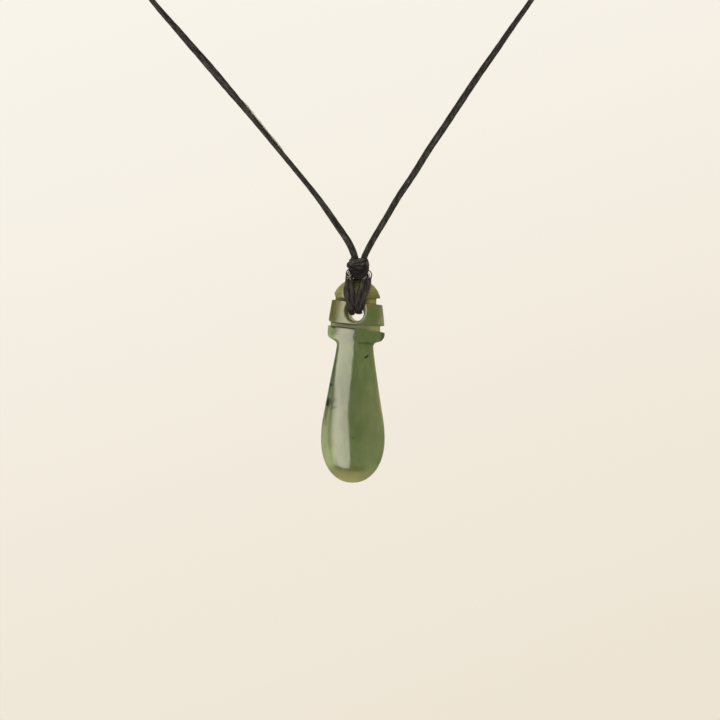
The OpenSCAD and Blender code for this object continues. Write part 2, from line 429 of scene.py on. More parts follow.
@dataclass(frozen=True)
class PolishedNephrite:
    """Translucent green nephrite, cloudy inside, olive at the butt and warm at the tip, highly polished.

    zones are laid over the clouds in order, then the throat, a painted glow on the wall of the hole, then
    painted shade on the carving's edges, then the painted glows in the grooves and the stone's specks, and
    the inclusions last, of which seen_from_behind is the share that shows there. Among the zones, the glows
    on the thin blade, low on the left, on the thin right rim, on the right and at the collar's left end are
    painted light, and the veils, the dark line under the collar, the dark under the lashing and the band's
    left end are painted shade. collar_foot and groove_foot are how far below the hole the collar's lower
    edge and the lower groove's foot run and how much they fall with each millimetre to the right. bow is how
    far below the hole and right of the middle the arc over the tip lies, and how bent it is. edge_left,
    edge_right and edge_right_high are how dark the painted shade on the carving's edges is on the left and
    on the right, and how much is added high on the right. floor_share is the tint of the groove floors.
    roughness is the polished blade's, scuffing is spread over it, butt_dull and groove_dull are added in
    those places, and ripple_m is the height of the surface's slow waves in metres.
    """

    zones: tuple[Zone, ...] = (
        Zone("wisps", Tone.PALE, 0.14, also=((Along.WISPS, 0.42, 0.80),)),
        Zone("butt", Tone.MOSS, 0.80, up=((-2.2, -0.2),)),
        # Painted glow: the thin blade made paler, where light would pass through it.
        Zone("thin blade", Tone.PALE, 0.35, up=((-12.0, -20.0),), also=((Along.OFF_PLANE, 4.6, 1.0),)),
        # Painted glow: low on the left and along its edge, paler where light from the left would pass through
        # the thin edge.
        Zone("low left", Tone.PALE, 0.48, up=((-22.0, -30.0),), also=((Along.LEFT_DRIFT, -2.6, -6.6),)),
        Zone(
            "low left edge", Tone.PALE, 0.75, ((-3.9, -4.9), (-7.4, -6.2)), ((-32.5, -35.0), (-39.5, -38.0))
        ),
        Zone("left rim", Tone.SHADE, 0.32, ((-6.3, -6.9),), ((-23.0, -24.5), (-28.8, -27.4))),
        Zone("low middle", Tone.PALE, 0.18, ((-2.0, 1.0),), ((-30.0, -36.0),)),
        Zone(
            "left flank", Tone.SHADE, 0.25, ((-3.4, -4.6),), ((-7.8, -9.0), (-25.0, -21.0)),
            gain=(Along.UP, -13.0, -18.0, 0.35),
        ),
        # Painted shade: these two darken the colour where the window light is mirrored on the left of the
        # collar and of the blade.
        Zone("painted shade over the collar's reflection", Tone.SHADE_UNDER_REFLECTION, 0.42, ((-5.2, -4.2), (1.0, -1.0)), ((-3.8, -4.6), (-8.2, -6.8))),
        Zone("painted shade over the blade's reflection", Tone.SHADE_UNDER_REFLECTION, 0.42, ((-5.2, -4.2), (1.0, -1.0)), ((-14.0, -18.0), (-25.0, -22.0))),
        Zone("heart", Tone.DEEP, 0.50, ((-0.4, 0.6), (4.0, 1.6)), ((-15.0, -19.0), (-26.0, -22.5))),
        Zone("low right", Tone.DEEP, 0.45, ((3.0, 6.0),), ((-27.0, -31.0), (-38.5, -36.5))),
        # Painted light: paler on the right of the blade, as if lit from the right.
        Zone("painted light on the right", Tone.HAZE_AND_GLOW, 0.07, ((1.0, 3.4),), ((-15.0, -19.0), (-35.5, -33.0))),
        # Painted glow on the thin right rim, where light would pass through it.
        Zone(
            "thin right rim", Tone.HAZE_AND_GLOW, 0.22, ((0.0, 3.0),), ((-7.6, -9.0), (-27.0, -20.0)),
            ((Along.RIM, 0.86, 0.99),),
        ),
        # Painted shadow: a dark line under the collar's lower edge.
        Zone(
            "under the collar", Tone.DARK, 0.42, ((0.2, 1.2), (5.0, 3.8)),
            also=((Along.COLLAR_FOOT, -0.55, -0.15), (Along.COLLAR_FOOT, 0.35, 0.05)),
        ),
        Zone("collar's right end", Tone.DARK, 0.50, ((6.3, 6.7),), ((-4.6, -5.1), (-6.4, -5.9))),
        Zone("olive butt", Tone.OLIVE, 0.90, also=((Along.HEAD, -1.0, 7.0),)),
        Zone("dome's left", Tone.HAZE_AND_GLOW, 0.44, ((-1.7, -3.2),), ((3.9, 5.6),)),
        Zone("dome's right", Tone.HAZE_AND_GLOW, 0.30, ((1.7, 3.2),), ((5.0, 6.8),)),
        Zone("dome's brim", Tone.BROWN, 0.35, ((1.5, 3.0),), ((3.4, 3.8), (5.2, 4.2))),
        # Painted shadow of the lashing on the dome between its bundles.
        Zone("under the lashing", Tone.DARK, 0.60, up=((3.2, 5.2),), also=((Along.OFF_AXIS, 5.5, 2.0),)),
        # Painted shade: the band's left end darkened against the light that it mirrors.
        Zone(
            "band's left end", Tone.BROWN, 0.25, ((-1.0, -3.0),), ((-2.4, -1.4), (4.2, 3.3)),
            gain=(Along.ACROSS, -4.9, -5.3, 0.45),
        ),
        Zone("band's right end", Tone.HAZE_AND_GLOW, 0.30, ((5.4, 6.6),), ((-2.9, -2.2), (3.0, 1.5))),
        Zone("right lip", Tone.SHADE, 0.60, ((5.8, 6.9),), ((-7.4, -6.6), (-4.2, -4.8))),
        # Painted light: the collar's left end made paler, as if lit from the left.
        Zone("collar's left end", Tone.PALE, 0.75, ((-4.5, -6.2),), ((-2.0, -3.4), (-9.0, -7.0))),
        Zone("tip", Tone.WARM, 0.60, also=((Along.TIP, -36.6, -40.2),), gain=(Along.ACROSS, 0.0, 3.0, -0.30)),
        Zone("end of the tip", Tone.HAZE_AND_GLOW, 0.40, ((5.0, 1.0),), ((-40.6, -42.2),)),
        Zone(
            "bow over the tip", Tone.BROWN, 0.60, ((4.6, 1.0), (-4.6, -3.0)),
            also=((Along.BOW, -1.0, -0.1), (Along.BOW, 1.3, 0.2)),
        ),
        Zone("dish's left side", Tone.OLIVE, 0.55, ((0.0, -1.0),), also=((Along.DISH, 3.0, 2.8),)),
    )
    # Painted light: the wall of the hole turned cream as if lit from behind through the stone, and made to
    # glow.
    throat: Zone = Zone(
        "wall of the hole", Tone.CREAM, 0.95, also=((Along.BORE, 2.4, 2.05), (Along.BEHIND, -1.4, -0.2))
    )
    # Painted shade: a dark band along the lower groove's foot on the left.
    lip: Zone = Zone(
        "lower groove's foot", Tone.DARK, 0.78, ((-6.6, -5.6),),
        also=((Along.GROOVE_FOOT, -0.65, -0.25), (Along.GROOVE_FOOT, 0.4, 0.1), (Along.DRIFT, 1.5, -1.5)),
    )
    # Painted glow in the right ends of the grooves, where light would come through the stone; the specks are
    # the stone's own.
    glows_and_specks: tuple[Zone, ...] = (
        Zone(
            "lower groove's right end", Tone.HONEY, 0.68, up=((1.5, -1.5),),
            also=((Along.SUNK, 0.10, 0.32), (Along.RIGHT_DRIFT, 2.6, 6.6)),
        ),
        Zone(
            "upper groove's right end", Tone.HONEY, 0.25, ((2.0, 4.0),), ((1.5, 2.5),),
            ((Along.SUNK, 0.10, 0.32),),
        ),
        Zone("specks", Tone.DARK, 0.25, also=((Along.SPECKS, 0.66, 0.78),)),
    )
    inclusions: tuple[Inclusion, ...] = (
        Inclusion(2.86, -10.71, 0.66, 0.20, 40.0, 0.10, 1.0),
        Inclusion(-5.78, -17.85, 0.40, 0.34, 0.0, 0.12, 1.0),
        Inclusion(-6.35, -22.20, 0.95, 0.62, 75.0, 0.30, 1.0),
        Inclusion(-4.97, -21.80, 0.55, 0.36, 60.0, 0.40, 0.50),
        Inclusion(-5.03, -23.60, 0.55, 0.28, 25.0, 0.25, 0.80),
        Inclusion(0.07, -31.08, 0.24, 0.20, 0.0, 0.22, 0.60),
    )
    seen_from_behind: float = 0.35
    collar_foot: tuple[float, float] = (7.15, 0.045)
    groove_foot: tuple[float, float] = (3.87, 0.102)
    bow: tuple[float, float, float] = (38.9, 1.0, 0.045)
    edge_left: float = 0.90
    edge_right: float = 0.14
    edge_right_high: float = 0.36
    floor_share: float = 0.42
    roughness: float = 0.055
    scuffing: float = 0.04
    butt_dull: float = 0.18
    groove_dull: float = 0.40
    ripple_m: float = 0.00006

    def _measures(self, graph: Graph, place: Wire) -> dict[Along, Wire]:
        """Everything that the zones are measured along.

        Args:
            graph: the material's graph.
            place: the point on the stone.

        Returns:
            The measures.
        """
        across, behind, height = graph.axes(place)
        up = height - float(HOLE[2])
        clouds = graph.noise(graph.stretched(place, (1.0, 1.0, 0.55)), 0.22, 2.0)
        wisps = graph.noise(graph.stretched(place, (1.0, 1.0, 0.35)), 0.9, 4.0, 0.6)
        bow_down, bow_middle, bow_bend = self.bow
        from_bow = across - bow_middle
        from_dish = across + Stone.mouth_left
        over_dish = up - Stone.mouth_up
        return {
            Along.ACROSS: across,
            Along.UP: up,
            Along.BEHIND: behind,
            Along.OFF_AXIS: across * across,
            Along.OFF_PLANE: behind * behind,
            Along.CLOUDS: clouds,
            Along.WISPS: wisps,
            Along.SPECKS: graph.noise(place, 4.5, 2.0),
            Along.DRIFT: across + wisps,
            Along.LEFT_DRIFT: across + wisps * 1.4,
            Along.RIGHT_DRIFT: across + wisps * 2.0,
            Along.HEAD: up + clouds * 3.0 - across * 0.55,
            Along.TIP: up + wisps * 2.4 + across * 0.05,
            Along.COLLAR_FOOT: up + self.collar_foot[0] + across * self.collar_foot[1],
            Along.GROOVE_FOOT: up + self.groove_foot[0] + across * self.groove_foot[1],
            Along.BOW: up + bow_down - from_bow * from_bow * bow_bend + (wisps - 0.5) * 0.5,
            Along.DISH: (from_dish * from_dish + over_dish * over_dish) ** 0.5,
            Along.BORE: (across * across + up * up) ** 0.5,
            Along.SUNK: graph.attribute("sunk"),
            Along.RIM: graph.attribute("rim"),
        }

    def _carved(self, graph: Graph, colour: Wire, at: dict[Along, Wire]) -> Wire:
        """Darkens the edges of the grooves and of the hole, and tints the groove floors on the left.

        Args:
            graph: the material's graph.
            colour: the colour so far.
            at: the point's measures.

        Returns:
            The new colour.
        """
        sunk, up = at[Along.SUNK], at[Along.UP]
        right = at[Along.DRIFT].between(-1.5, 1.5)
        dish = at[Along.DISH].between(3.0, 2.8)
        # Painted shade on the edges of the grooves and of the hole, deep on the left and light on the right.
        edge = sunk.between(0.01, 0.12) * sunk.between(0.66, 0.40) * (1.0 - dish * 0.22)
        lighter = (self.edge_left - self.edge_right) - up.between(-1.0, 1.0) * self.edge_right_high
        colour = graph.blend(edge * (self.edge_left - right * lighter), colour, Tone.DARK.value)
        colour = self.lip.over(graph, colour, at)
        floor = sunk.between(0.30, 0.42) * (1.0 - right) * up.between(1.0, -1.0)
        earthy = graph.blend(at[Along.ACROSS].between(-4.0, -5.4), Tone.BROWN.value, Tone.HONEY.value)
        return graph.blend(floor * self.floor_share, colour, earthy)

    def _marked(self, graph: Graph, colour: Wire, at: dict[Along, Wire]) -> Wire:
        """Lays the inclusions over a colour, with ragged edges, and fainter towards the back.

        Args:
            graph: the material's graph.
            colour: the colour so far.
            at: the point's measures.

        Returns:
            The new colour.
        """
        across = at[Along.ACROSS] + (at[Along.WISPS] - 0.5) * 0.30
        up = at[Along.UP] + (at[Along.SPECKS] - 0.5) * 0.22
        front = at[Along.BEHIND].between(1.2, -0.4) * (1.0 - self.seen_from_behind) + self.seen_from_behind
        for mark in self.inclusions:
            colour = graph.blend(mark.mask(across, up) * front, colour, Tone.DARK.value)
        return colour

    def material(self) -> bpy.types.Material:
        """Builds the material.

        Returns:
            The polished nephrite.
        """
        graph = Graph(bpy.data.materials.new("polished_nephrite"))
        place = graph.place_mm()
        at = self._measures(graph, place)
        colour = graph.blend(at[Along.CLOUDS].between(0.35, 0.68), Tone.DEEP.value, Tone.MID.value)
        for zone in (*self.zones, self.throat):
            colour = zone.over(graph, colour, at)
        colour = self._carved(graph, colour, at)
        for zone in self.glows_and_specks:
            colour = zone.over(graph, colour, at)
        colour = self._marked(graph, colour, at)
        scuffs = graph.noise(graph.stretched(place, (1.0, 1.0, 0.3)), 14.0, 3.0)
        ripple = graph.noise(graph.stretched(place, (1.0, 1.0, 0.5)), 0.45, 1.0)
        dull = at[Along.UP].between(-3.4, -2.4) * self.butt_dull
        dull = dull + at[Along.SUNK].between(0.05, 0.20) * self.groove_dull
        return graph.finish(
            {
                "Base Color": colour,
                "Roughness": self.roughness + scuffs * self.scuffing + dull,
                "IOR": 1.61,
                "Subsurface Weight": 0.75,
                "Subsurface Radius": (1.0, 1.3, 0.55),
                "Subsurface Scale": 0.0010,
                # The wall of the hole glows: painted light from behind.
                "Emission Color": graph.blend(self.throat.mask(at), (0.0, 0.0, 0.0), Tone.BACKLIT.value),
                "Emission Strength": 1.0,
                "Normal": graph.bump(ripple, self.ripple_m, 0.6),
            }
        )


@dataclass(frozen=True)
class WaxedThread:
    """Black waxed thread: fine fibres that follow the lay, greyed in streaks that are partly worn wax and
    partly painted sheen.

    wear_and_sheen is how much the grey streaks show, and depth the height of the fibres in metres. worn gives
    the heights above the hole between which the streaks set in, which makes them a painted highlight on the
    upper part, or None where they are everywhere. unworn is what is left of them below those heights, and
    valley_share what is left between the plies.
    """

    name: str
    black: tuple[float, float, float] = srgb(15, 13, 11)
    wear_and_sheen_grey: tuple[float, float, float] = srgb(104, 100, 98)
    frayed_and_glint: tuple[float, float, float] = srgb(205, 201, 192)
    wear_and_sheen: float = 0.46
    depth: float = 0.00018
    worn: tuple[float, float] | None = None
    unworn: float = 0.18
    valley_share: float = 0.62

    def material(self) -> bpy.types.Material:
        """Builds the material.

        Returns:
            The waxed thread.
        """
        graph = Graph(bpy.data.materials.new(self.name))
        strand = graph.attribute("strand", "Vector")
        fibres = graph.noise(graph.stretched(strand, (1.0, 1.0, 0.065)), 8.0, 3.0, 0.65)
        patches = graph.noise(graph.stretched(strand, (0.6, 0.6, 0.35)), 1.6, 2.0)
        ply = graph.attribute("ply")
        # The grey streaks are partly worn wax and partly painted sheen; where worn is given they keep to the
        # upper part as a painted highlight.
        shine = (fibres * 0.78 + patches * 0.22).between(0.45, 0.64) * self.wear_and_sheen
        if self.worn:
            height = graph.axes(graph.place_mm())[2] - float(HOLE[2])
            shine = shine * (height.between(*self.worn) * (1.0 - self.unworn) + self.unworn)
        raised = ply * (1.0 - self.valley_share) + self.valley_share
        colour = graph.blend(shine * raised, self.black, self.wear_and_sheen_grey)
        # Painted pale for bare fibre and for painted glints.
        colour = graph.blend(graph.attribute("bare_and_glint") * fibres.between(0.35, 0.55), colour, self.frayed_and_glint)
        return graph.finish(
            {
                "Base Color": colour,
                "Roughness": 0.54 - patches * 0.22,
                "IOR": 1.40,
                "Specular IOR Level": 0.32,
                "Normal": graph.bump(fibres, self.depth, 0.9),
            }
        )


@dataclass(frozen=True)
class PaleBackdrop:
    """Matt warm cream that lights the stone from all round, a little deeper low down and to the right."""

    upper: tuple[float, float, float] = srgb(250, 245.5, 237)
    lower: tuple[float, float, float] = srgb(235, 225.5, 207)
    lean: float = 0.35
    low_mm: float = -900.0
    high_mm: float = 560.0

    def material(self) -> bpy.types.Material:
        """Builds the material.

        Returns:
            The pale backdrop.
        """
        graph = Graph(bpy.data.materials.new("pale_backdrop"))
        across, _, up = graph.axes(graph.place_mm())
        shade = (up - across * self.lean).between(self.low_mm, self.high_mm)
        return graph.finish(
            {
                "Base Color": (0.0, 0.0, 0.0, 1.0),
                "Roughness": 1.0,
                "Specular IOR Level": 0.0,
                "Emission Color": graph.blend(shade, self.lower, self.upper),
                "Emission Strength": 1.0,
            }
        )


@dataclass
class MeshDraft:
    """Collects the vertices, faces and stored values of one piece.

    origin is where its points are measured from, and count how many there are so far.
    """

    origin: np.ndarray
    points: list[np.ndarray] = field(default_factory=list)
    faces: list[np.ndarray] = field(default_factory=list)
    stored: dict[str, list[np.ndarray]] = field(default_factory=dict)
    count: int = 0

    def add(self, points: np.ndarray, faces: list[np.ndarray], stored: dict[str, np.ndarray]) -> None:
        """Adds a patch.

        Args:
            points: its vertices in millimetres from the origin.
            faces: arrays of faces, one face a row, numbered from 0.
            stored: values for each vertex by name.
        """
        self.points.append(points)
        self.faces += [face + self.count for face in faces]
        for name, values in stored.items():
            self.stored.setdefault(name, []).append(values)
        self.count += len(points)

    def piece(self, name: str, material: bpy.types.Material) -> bpy.types.Object:
        """Makes the Blender object, smooth shaded.

        Args:
            name: the object's name.
            material: its finish.

        Returns:
            The object.
        """
        points = (np.concatenate(self.points) + self.origin) * MM
        mesh = bpy.data.meshes.new(name)
        loops = np.concatenate([face.ravel() for face in self.faces])
        sizes = np.concatenate([np.full(len(face), face.shape[1]) for face in self.faces])
        starts = np.concatenate([[0], np.cumsum(sizes)[:-1]])
        mesh.vertices.add(len(points))
        mesh.vertices.foreach_set("co", points.astype(np.float32).ravel())
        mesh.loops.add(len(loops))
        mesh.loops.foreach_set("vertex_index", loops.astype(np.int32))
        mesh.polygons.add(len(sizes))
        mesh.polygons.foreach_set("loop_start", starts.astype(np.int32))
        mesh.update(calc_edges=True)
        mesh.validate()
        mesh.polygons.foreach_set("use_smooth", np.ones(len(mesh.polygons), bool))
        for key, parts in self.stored.items():
            values = np.concatenate(parts).astype(np.float32)
            kind, member = ("FLOAT", "value") if values.ndim == 1 else ("FLOAT_VECTOR", "vector")
            mesh.attributes.new(key, kind, "POINT").data.foreach_set(member, values.ravel())
        mesh.materials.append(material)
        made = bpy.data.objects.new(name, mesh)
        bpy.context.scene.collection.objects.link(made)
        return made


def curve_through(rows: np.ndarray, steps: int) -> np.ndarray:
    """A smooth curve through given rows.

    Args:
        rows: the rows, each any list of numbers.
        steps: samples from one row to the next.

    Returns:
        The samples, one a row.
    """
    rows = np.asarray(rows, float)
    padded = np.concatenate([rows[:1], rows, rows[-1:]])
    u = (np.arange(steps) / steps)[:, None]
    made = []
    for a, b, c, d in zip(padded, padded[1:], padded[2:], padded[3:]):
        square = (2 * a - 5 * b + 4 * c - d) * u**2
        cube = (3 * b - a - 3 * c + d) * u**3
        made.append(0.5 * (2 * b + (c - a) * u + square + cube))
    made.append(rows[-1:])
    return np.concatenate(made)


def eased(share: np.ndarray) -> np.ndarray:
    """Rises from 0 to 1 as share does, level at both ends and beyond them."""
    share = np.clip(share, 0, 1)
    return share * share * (3 - 2 * share)


def softened(row: np.ndarray, step: float, reach: float, count: int | None = None) -> np.ndarray:
    """Samples with their corners softened.

    Args:
        row: the samples.
        step: the distance between them.
        reach: the distance that the softening spreads over.
        count: how many samples it takes in on each side, or None for three times the reach.

    Returns:
        The softened samples.
    """
    count = count or round(3 * reach / step)
    weights = np.exp(-0.5 * (np.arange(-count, count + 1) * step / reach) ** 2)
    return np.convolve(np.pad(row, count, mode="edge"), weights / weights.sum(), "valid")


def run_lengths(path: np.ndarray) -> np.ndarray:
    """Distance along a path to each of its points."""
    return np.concatenate([[0.0], np.cumsum(np.linalg.norm(np.diff(path, axis=0), axis=1))])


def evened(rows: np.ndarray, spacing: float) -> np.ndarray:
    """Resamples rows, whose first three numbers are a point, at equal distances.

    Args:
        rows: the samples.
        spacing: the distance wanted.

    Returns:
        New samples.
    """
    run = run_lengths(rows[:, :3])
    wanted = np.linspace(0.0, run[-1], max(2, round(run[-1] / spacing) + 1))
    return np.stack([np.interp(wanted, run, column) for column in rows.T], axis=1)


def ripple(run: np.ndarray, wave: float, seed: int) -> np.ndarray:
    """A smooth irregular wave from -1 to 1.

    Args:
        run: distance along the cord.
        wave: its usual wavelength.
        seed: picks the phases.

    Returns:
        The wave at each distance.
    """
    phases = np.random.default_rng(seed).uniform(0, 2 * math.pi, 3)
    parts = [np.sin(2 * math.pi * run / (wave * k) + p) for k, p in zip((1.0, 1.7, 0.63), phases)]
    return (parts[0] + 0.7 * parts[1] + 0.4 * parts[2]) / 2.1


@dataclass
class Strand:
    """One length of laid, waxed cord: a flattened tube whose fibres wind round it.

    Each of rows gives a point of the middle line, the half width, the half thickness and, where there is a
    sixth number, the angle that the flat side is rolled to. across is the side that the width lies along
    before it is rolled. lay is the length of one turn of the plies, and valley how deep they part. uneven
    is how much the thickness strays, and bare_and_glint how far the strand is painted pale, both as bare
    fibre where the wax has gone and as painted glints.
    """

    rows: np.ndarray
    across: tuple[float, float, float]
    lay: float = 7.5
    plies: int = 3
    valley: float = 0.05
    sides: int = 24
    closed: bool = False
    seed: int = 1
    uneven: float = 0.03
    bare_and_glint: float = 0.0

    def frames(self) -> tuple[np.ndarray, np.ndarray]:
        """The directions of the strand's width and of its thickness.

        Returns:
            Both, one row for each point.
        """
        path = self.rows[:, :3]
        if self.closed:
            ahead = np.roll(path, -1, axis=0) - np.roll(path, 1, axis=0)
        else:
            ahead = np.gradient(path, axis=0)
        ahead /= np.linalg.norm(ahead, axis=1)[:, None]
        across = np.asarray(self.across, float)
        wide = across - (ahead @ across)[:, None] * ahead
        wide /= np.linalg.norm(wide, axis=1)[:, None]
        deep = np.cross(wide, ahead)
        roll = self.rows[:, 5:6] if self.rows.shape[1] > 5 else np.zeros((len(path), 1))
        return wide * np.cos(roll) + deep * np.sin(roll), deep * np.cos(roll) - wide * np.sin(roll)

    def into(self, draft: MeshDraft) -> None:
        """Adds the strand to a mesh.

        Args:
            draft: the mesh.
        """
        wide, deep = self.frames()
        path = self.rows[:, :3]
        run = run_lengths(path)
        count = len(path)
        total = run[-1] + (np.linalg.norm(path[0] - path[-1]) if self.closed else 0.0)
        turns = max(1.0, round(total / self.lay)) if self.closed else total / self.lay
        step = np.arange(self.sides) / self.sides
        wind = 2 * math.pi * (step[None, :] + (turns * run / total)[:, None])
        ply = np.abs(np.sin(math.pi * self.plies * step))
        stray = 1.0 + self.uneven * ripple(run, 3.1, self.seed)[:, None]
        size = (1.0 - self.valley * (1.0 - ply) ** 1.6) * stray
        side = np.cos(wind) * self.rows[:, 3:4] * size
        face = np.sin(wind) * self.rows[:, 4:5] * size
        points = path[:, None, :] + side[..., None] * wide[:, None, :] + face[..., None] * deep[:, None, :]
        lie = np.empty((count, self.sides, 3))
        lie[..., 0] = np.cos(2 * math.pi * step) + 3.7 * self.seed
        lie[..., 1] = np.sin(2 * math.pi * step)
        lie[..., 2] = run[:, None]
        stored = {
            "strand": lie.reshape(-1, 3),
            "ply": np.tile(ply, count),
            "bare_and_glint": np.full(count * self.sides, self.bare_and_glint),
        }
        draft.add(points.reshape(-1, 3), self._faces(count), stored)

    def _faces(self, count: int) -> list[np.ndarray]:
        """The skin between the strand's rings, with caps where it isn't closed.

        Args:
            count: how many rings there are.

        Returns:
            The faces of four sides, then the caps.
        """
        ring = np.arange(count if self.closed else count - 1)[:, None]
        k = np.arange(self.sides)
        here, ahead = ring * self.sides, (ring + 1) % count * self.sides
        beside = (k + 1) % self.sides
        quads = np.stack([here + k, ahead + k, ahead + beside, here + beside], axis=-1)
        faces = [quads.reshape(-1, 4)]
        if not self.closed:
            faces.append(k[None, :])
            faces.append(((count - 1) * self.sides + k[::-1])[None, :])
        return faces


@dataclass
class PhotoCamera:
    """The photograph's view: level with the stone, rolled a little, through a long lens."""

    distance: float = 1.2
    lens: float = 240.0
    sensor: float = 36.0
    aim: tuple[float, float, float] = (0.00126, 0.0, -0.17155)
    roll_deg: float = 1.273
    nearest: float = 0.05
    farthest: float = 20.0

    def build(self) -> bpy.types.Object:
        """Makes the camera and gives it to the scene.

        Returns:
            The camera.
        """
        data = bpy.data.cameras.new("photo_camera")
        data.lens = self.lens
        data.sensor_width = self.sensor
        data.clip_start = self.nearest
        data.clip_end = self.farthest
        camera = bpy.data.objects.new("photo_camera", data)
        roll = math.radians(self.roll_deg)
        right = Vector((math.cos(roll), 0.0, math.sin(roll)))
        up = Vector((-math.sin(roll), 0.0, math.cos(roll)))
        back = right.cross(up)
        matrix = Matrix((right, up, back)).transposed().to_4x4()
        matrix.translation = Vector(self.aim) + back * self.distance
        camera.matrix_world = matrix
        bpy.context.scene.collection.objects.link(camera)
        bpy.context.scene.camera = camera
        return camera


@dataclass
class NeckCord:
    """The neck cord, a whole loop from the knot round the nape and back, with the barrel that joins it.

    route is the middle line's x and z. turning gives, by the distance along it, the degrees that the cord's
    flat side has turned to and how far the cord strays sideways from the line. turning_soft is how widely
    its corners are rounded, over turning_window samples on each side. fringe is where each loose hair
    starts along the cord, its length, and how far it lies from the cord's middle, towards hair_side. The
    barrel's coil narrows by the share barrel_tuck towards its ends, over the share barrel_tuck_over of its
    length, and its middle lies barrel_sink below the cord's.
    """

    route: tuple[tuple[float, float], ...] = (
        (-0.3, -147.4), (-0.8, -145.2), (-2.2, -142.2), (-4.9, -138.3), (-9.5, -132), (-16.5, -123.7),
        (-25.5, -113.4), (-35, -102.5), (-45, -91.3), (-53.5, -82), (-59.1, -72.4), (-61.4, -59.9),
        (-59.3, -44.2), (-53.2, -29.6), (-43.4, -17), (-30.7, -7.4), (-16, -1.4), (-6, 0.7),
        (0, 0.75), (6, 0.7), (13.5, -1.1), (25.7, -6.2), (36.3, -14.5), (44.5, -25.3),
        (49.6, -37.9), (51.4, -51.4),
        (49.1, -66.6), (42.3, -80.6), (34, -92.8), (26, -105), (18.2, -117.2), (11.4, -128.3),
        (7, -136), (3.8, -141.6), (2, -145.2), (1.3, -147.4),
    )
    turning: tuple[tuple[float, float, float], ...] = (
        (0, 62, 0), (7, 53, -0.05), (15, 43, -0.09), (19, 27, -0.03), (25, 12, -0.02), (34, 0, 0),
        (43, -16, 0.04), (49, -38, 0.10), (55, -65, 0.03), (61, -90, 0.04), (65, -120, 0.03),
        (70, -123, -0.05), (76, -142, 0), (82, -160, 0.15), (95, -200, 0.1), (110, -250, 0),
        (305, -870, 0), (319.4, -887, 0.23), (322.4, -878, 0.33), (325.4, -872, 0.26),
        (328.4, -866, 0.10), (331.4, -861, -0.01), (337.4, -854, 0.08), (343.4, -848, 0.09),
        (349.4, -845, -0.01), (355.4, -845, -0.07), (361.4, -847, 0.04), (368.4, -850, -0.11),
        (371.4, -851, -0.11), (376.4, -855, 0.12), (382.4, -859, 0.06), (395.4, -861, 0),
    )
    diameter: float = 1.5
    half_wide: float = 0.96
    half_thick: float = 0.65
    spacing: float = 0.34
    turning_soft: float = 1.6
    turning_window: int = 15
    fringe: tuple[tuple[float, float, float], ...] = (
        (33.4, 4.2, 0.76), (36.2, 4.0, 0.80), (39.0, 4.2, 0.78), (41.6, 4.0, 0.84), (44.2, 3.8, 0.87),
        (46.6, 3.6, 0.91),
    )
    hair_side: tuple[float, float, float] = (0.76, -0.15, 0.65)
    hair_half: float = 0.13
    hair_points: int = 16
    barrel_turns: int = 6
    barrel_length: float = 10.0
    barrel_coil_r: float = 1.47
    barrel_strand_r: float = 0.70
    barrel_tuck: float = 0.30
    barrel_tuck_over: float = 0.08
    barrel_sink: float = 0.1

    def middle_line(self) -> np.ndarray:
        """The cord's even middle line, before it strays.

        Returns:
            Its points.
        """
        flat = np.array(self.route, float)
        rows = np.stack([flat[:, 0], np.zeros(len(flat)), flat[:, 1]], axis=1)
        return evened(curve_through(rows, 20), self.spacing)

    def rows(self) -> np.ndarray:
        """The strayed middle line with its half sizes and its roll.

        Returns:
            The rows of a strand.
        """
        path = self.middle_line()
        run = run_lengths(path)
        table = np.array(self.turning, float).T
        roll, aside = (
            softened(np.interp(run, table[0], row), self.spacing, self.turning_soft, self.turning_window)
            for row in table[1:]
        )
        ahead = np.gradient(path, axis=0)
        ahead /= np.linalg.norm(ahead, axis=1)[:, None]
        path = path + aside[:, None] * np.cross((0.0, 1.0, 0.0), ahead)
        sizes = np.tile((self.half_wide, self.half_thick), (len(path), 1))
        return np.column_stack([path, sizes, np.radians(roll)])

    def build(self, finish: bpy.types.Material) -> None:
        """Makes the cord and its closure.

        Args:
            finish: the waxed thread.
        """
        draft = MeshDraft(NAPE)
        rows = self.rows()
        Strand(rows, (0.0, 1.0, 0.0), lay=36.0, seed=2, valley=0.03).into(draft)
        self._add_hairs(rows, draft)
        cord = draft.piece("waxed_neck_cord", finish)
        barrel = self.barrel(finish)
        for piece in (cord, barrel):
            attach(piece, Body.CORD.value)
        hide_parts("neck_cord")
        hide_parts("closure")

    def _add_hairs(self, rows: np.ndarray, draft: MeshDraft) -> None:
        """Adds the loose hairs, whose ends dip into the cord.

        Args:
            rows: the strayed middle line.
            draft: the cord's mesh.
        """
        run = run_lengths(rows[:, :3])
        wave = np.linspace(0, math.pi, self.hair_points)
        ends = np.linspace(-1, 1, self.hair_points) ** 4
        for i, (start, length, aside) in enumerate(self.fringe):
            at = np.linspace(start, start + length, self.hair_points)
            path = np.column_stack([np.interp(at, run, rows[:, axis]) for axis in range(3)])
            bow = aside + 0.05 * np.sin(wave * (1 + i % 2)) - 0.25 * ends
            path = path + bow[:, None] * np.array(self.hair_side)
            hair = np.column_stack([path, np.full((self.hair_points, 2), self.hair_half)])
            # The hairs are painted pale, partly bare fibre and partly painted glint.
            Strand(hair, (0.0, 1.0, 0.0), lay=2.0, seed=71 + i, sides=6, bare_and_glint=1.0).into(draft)

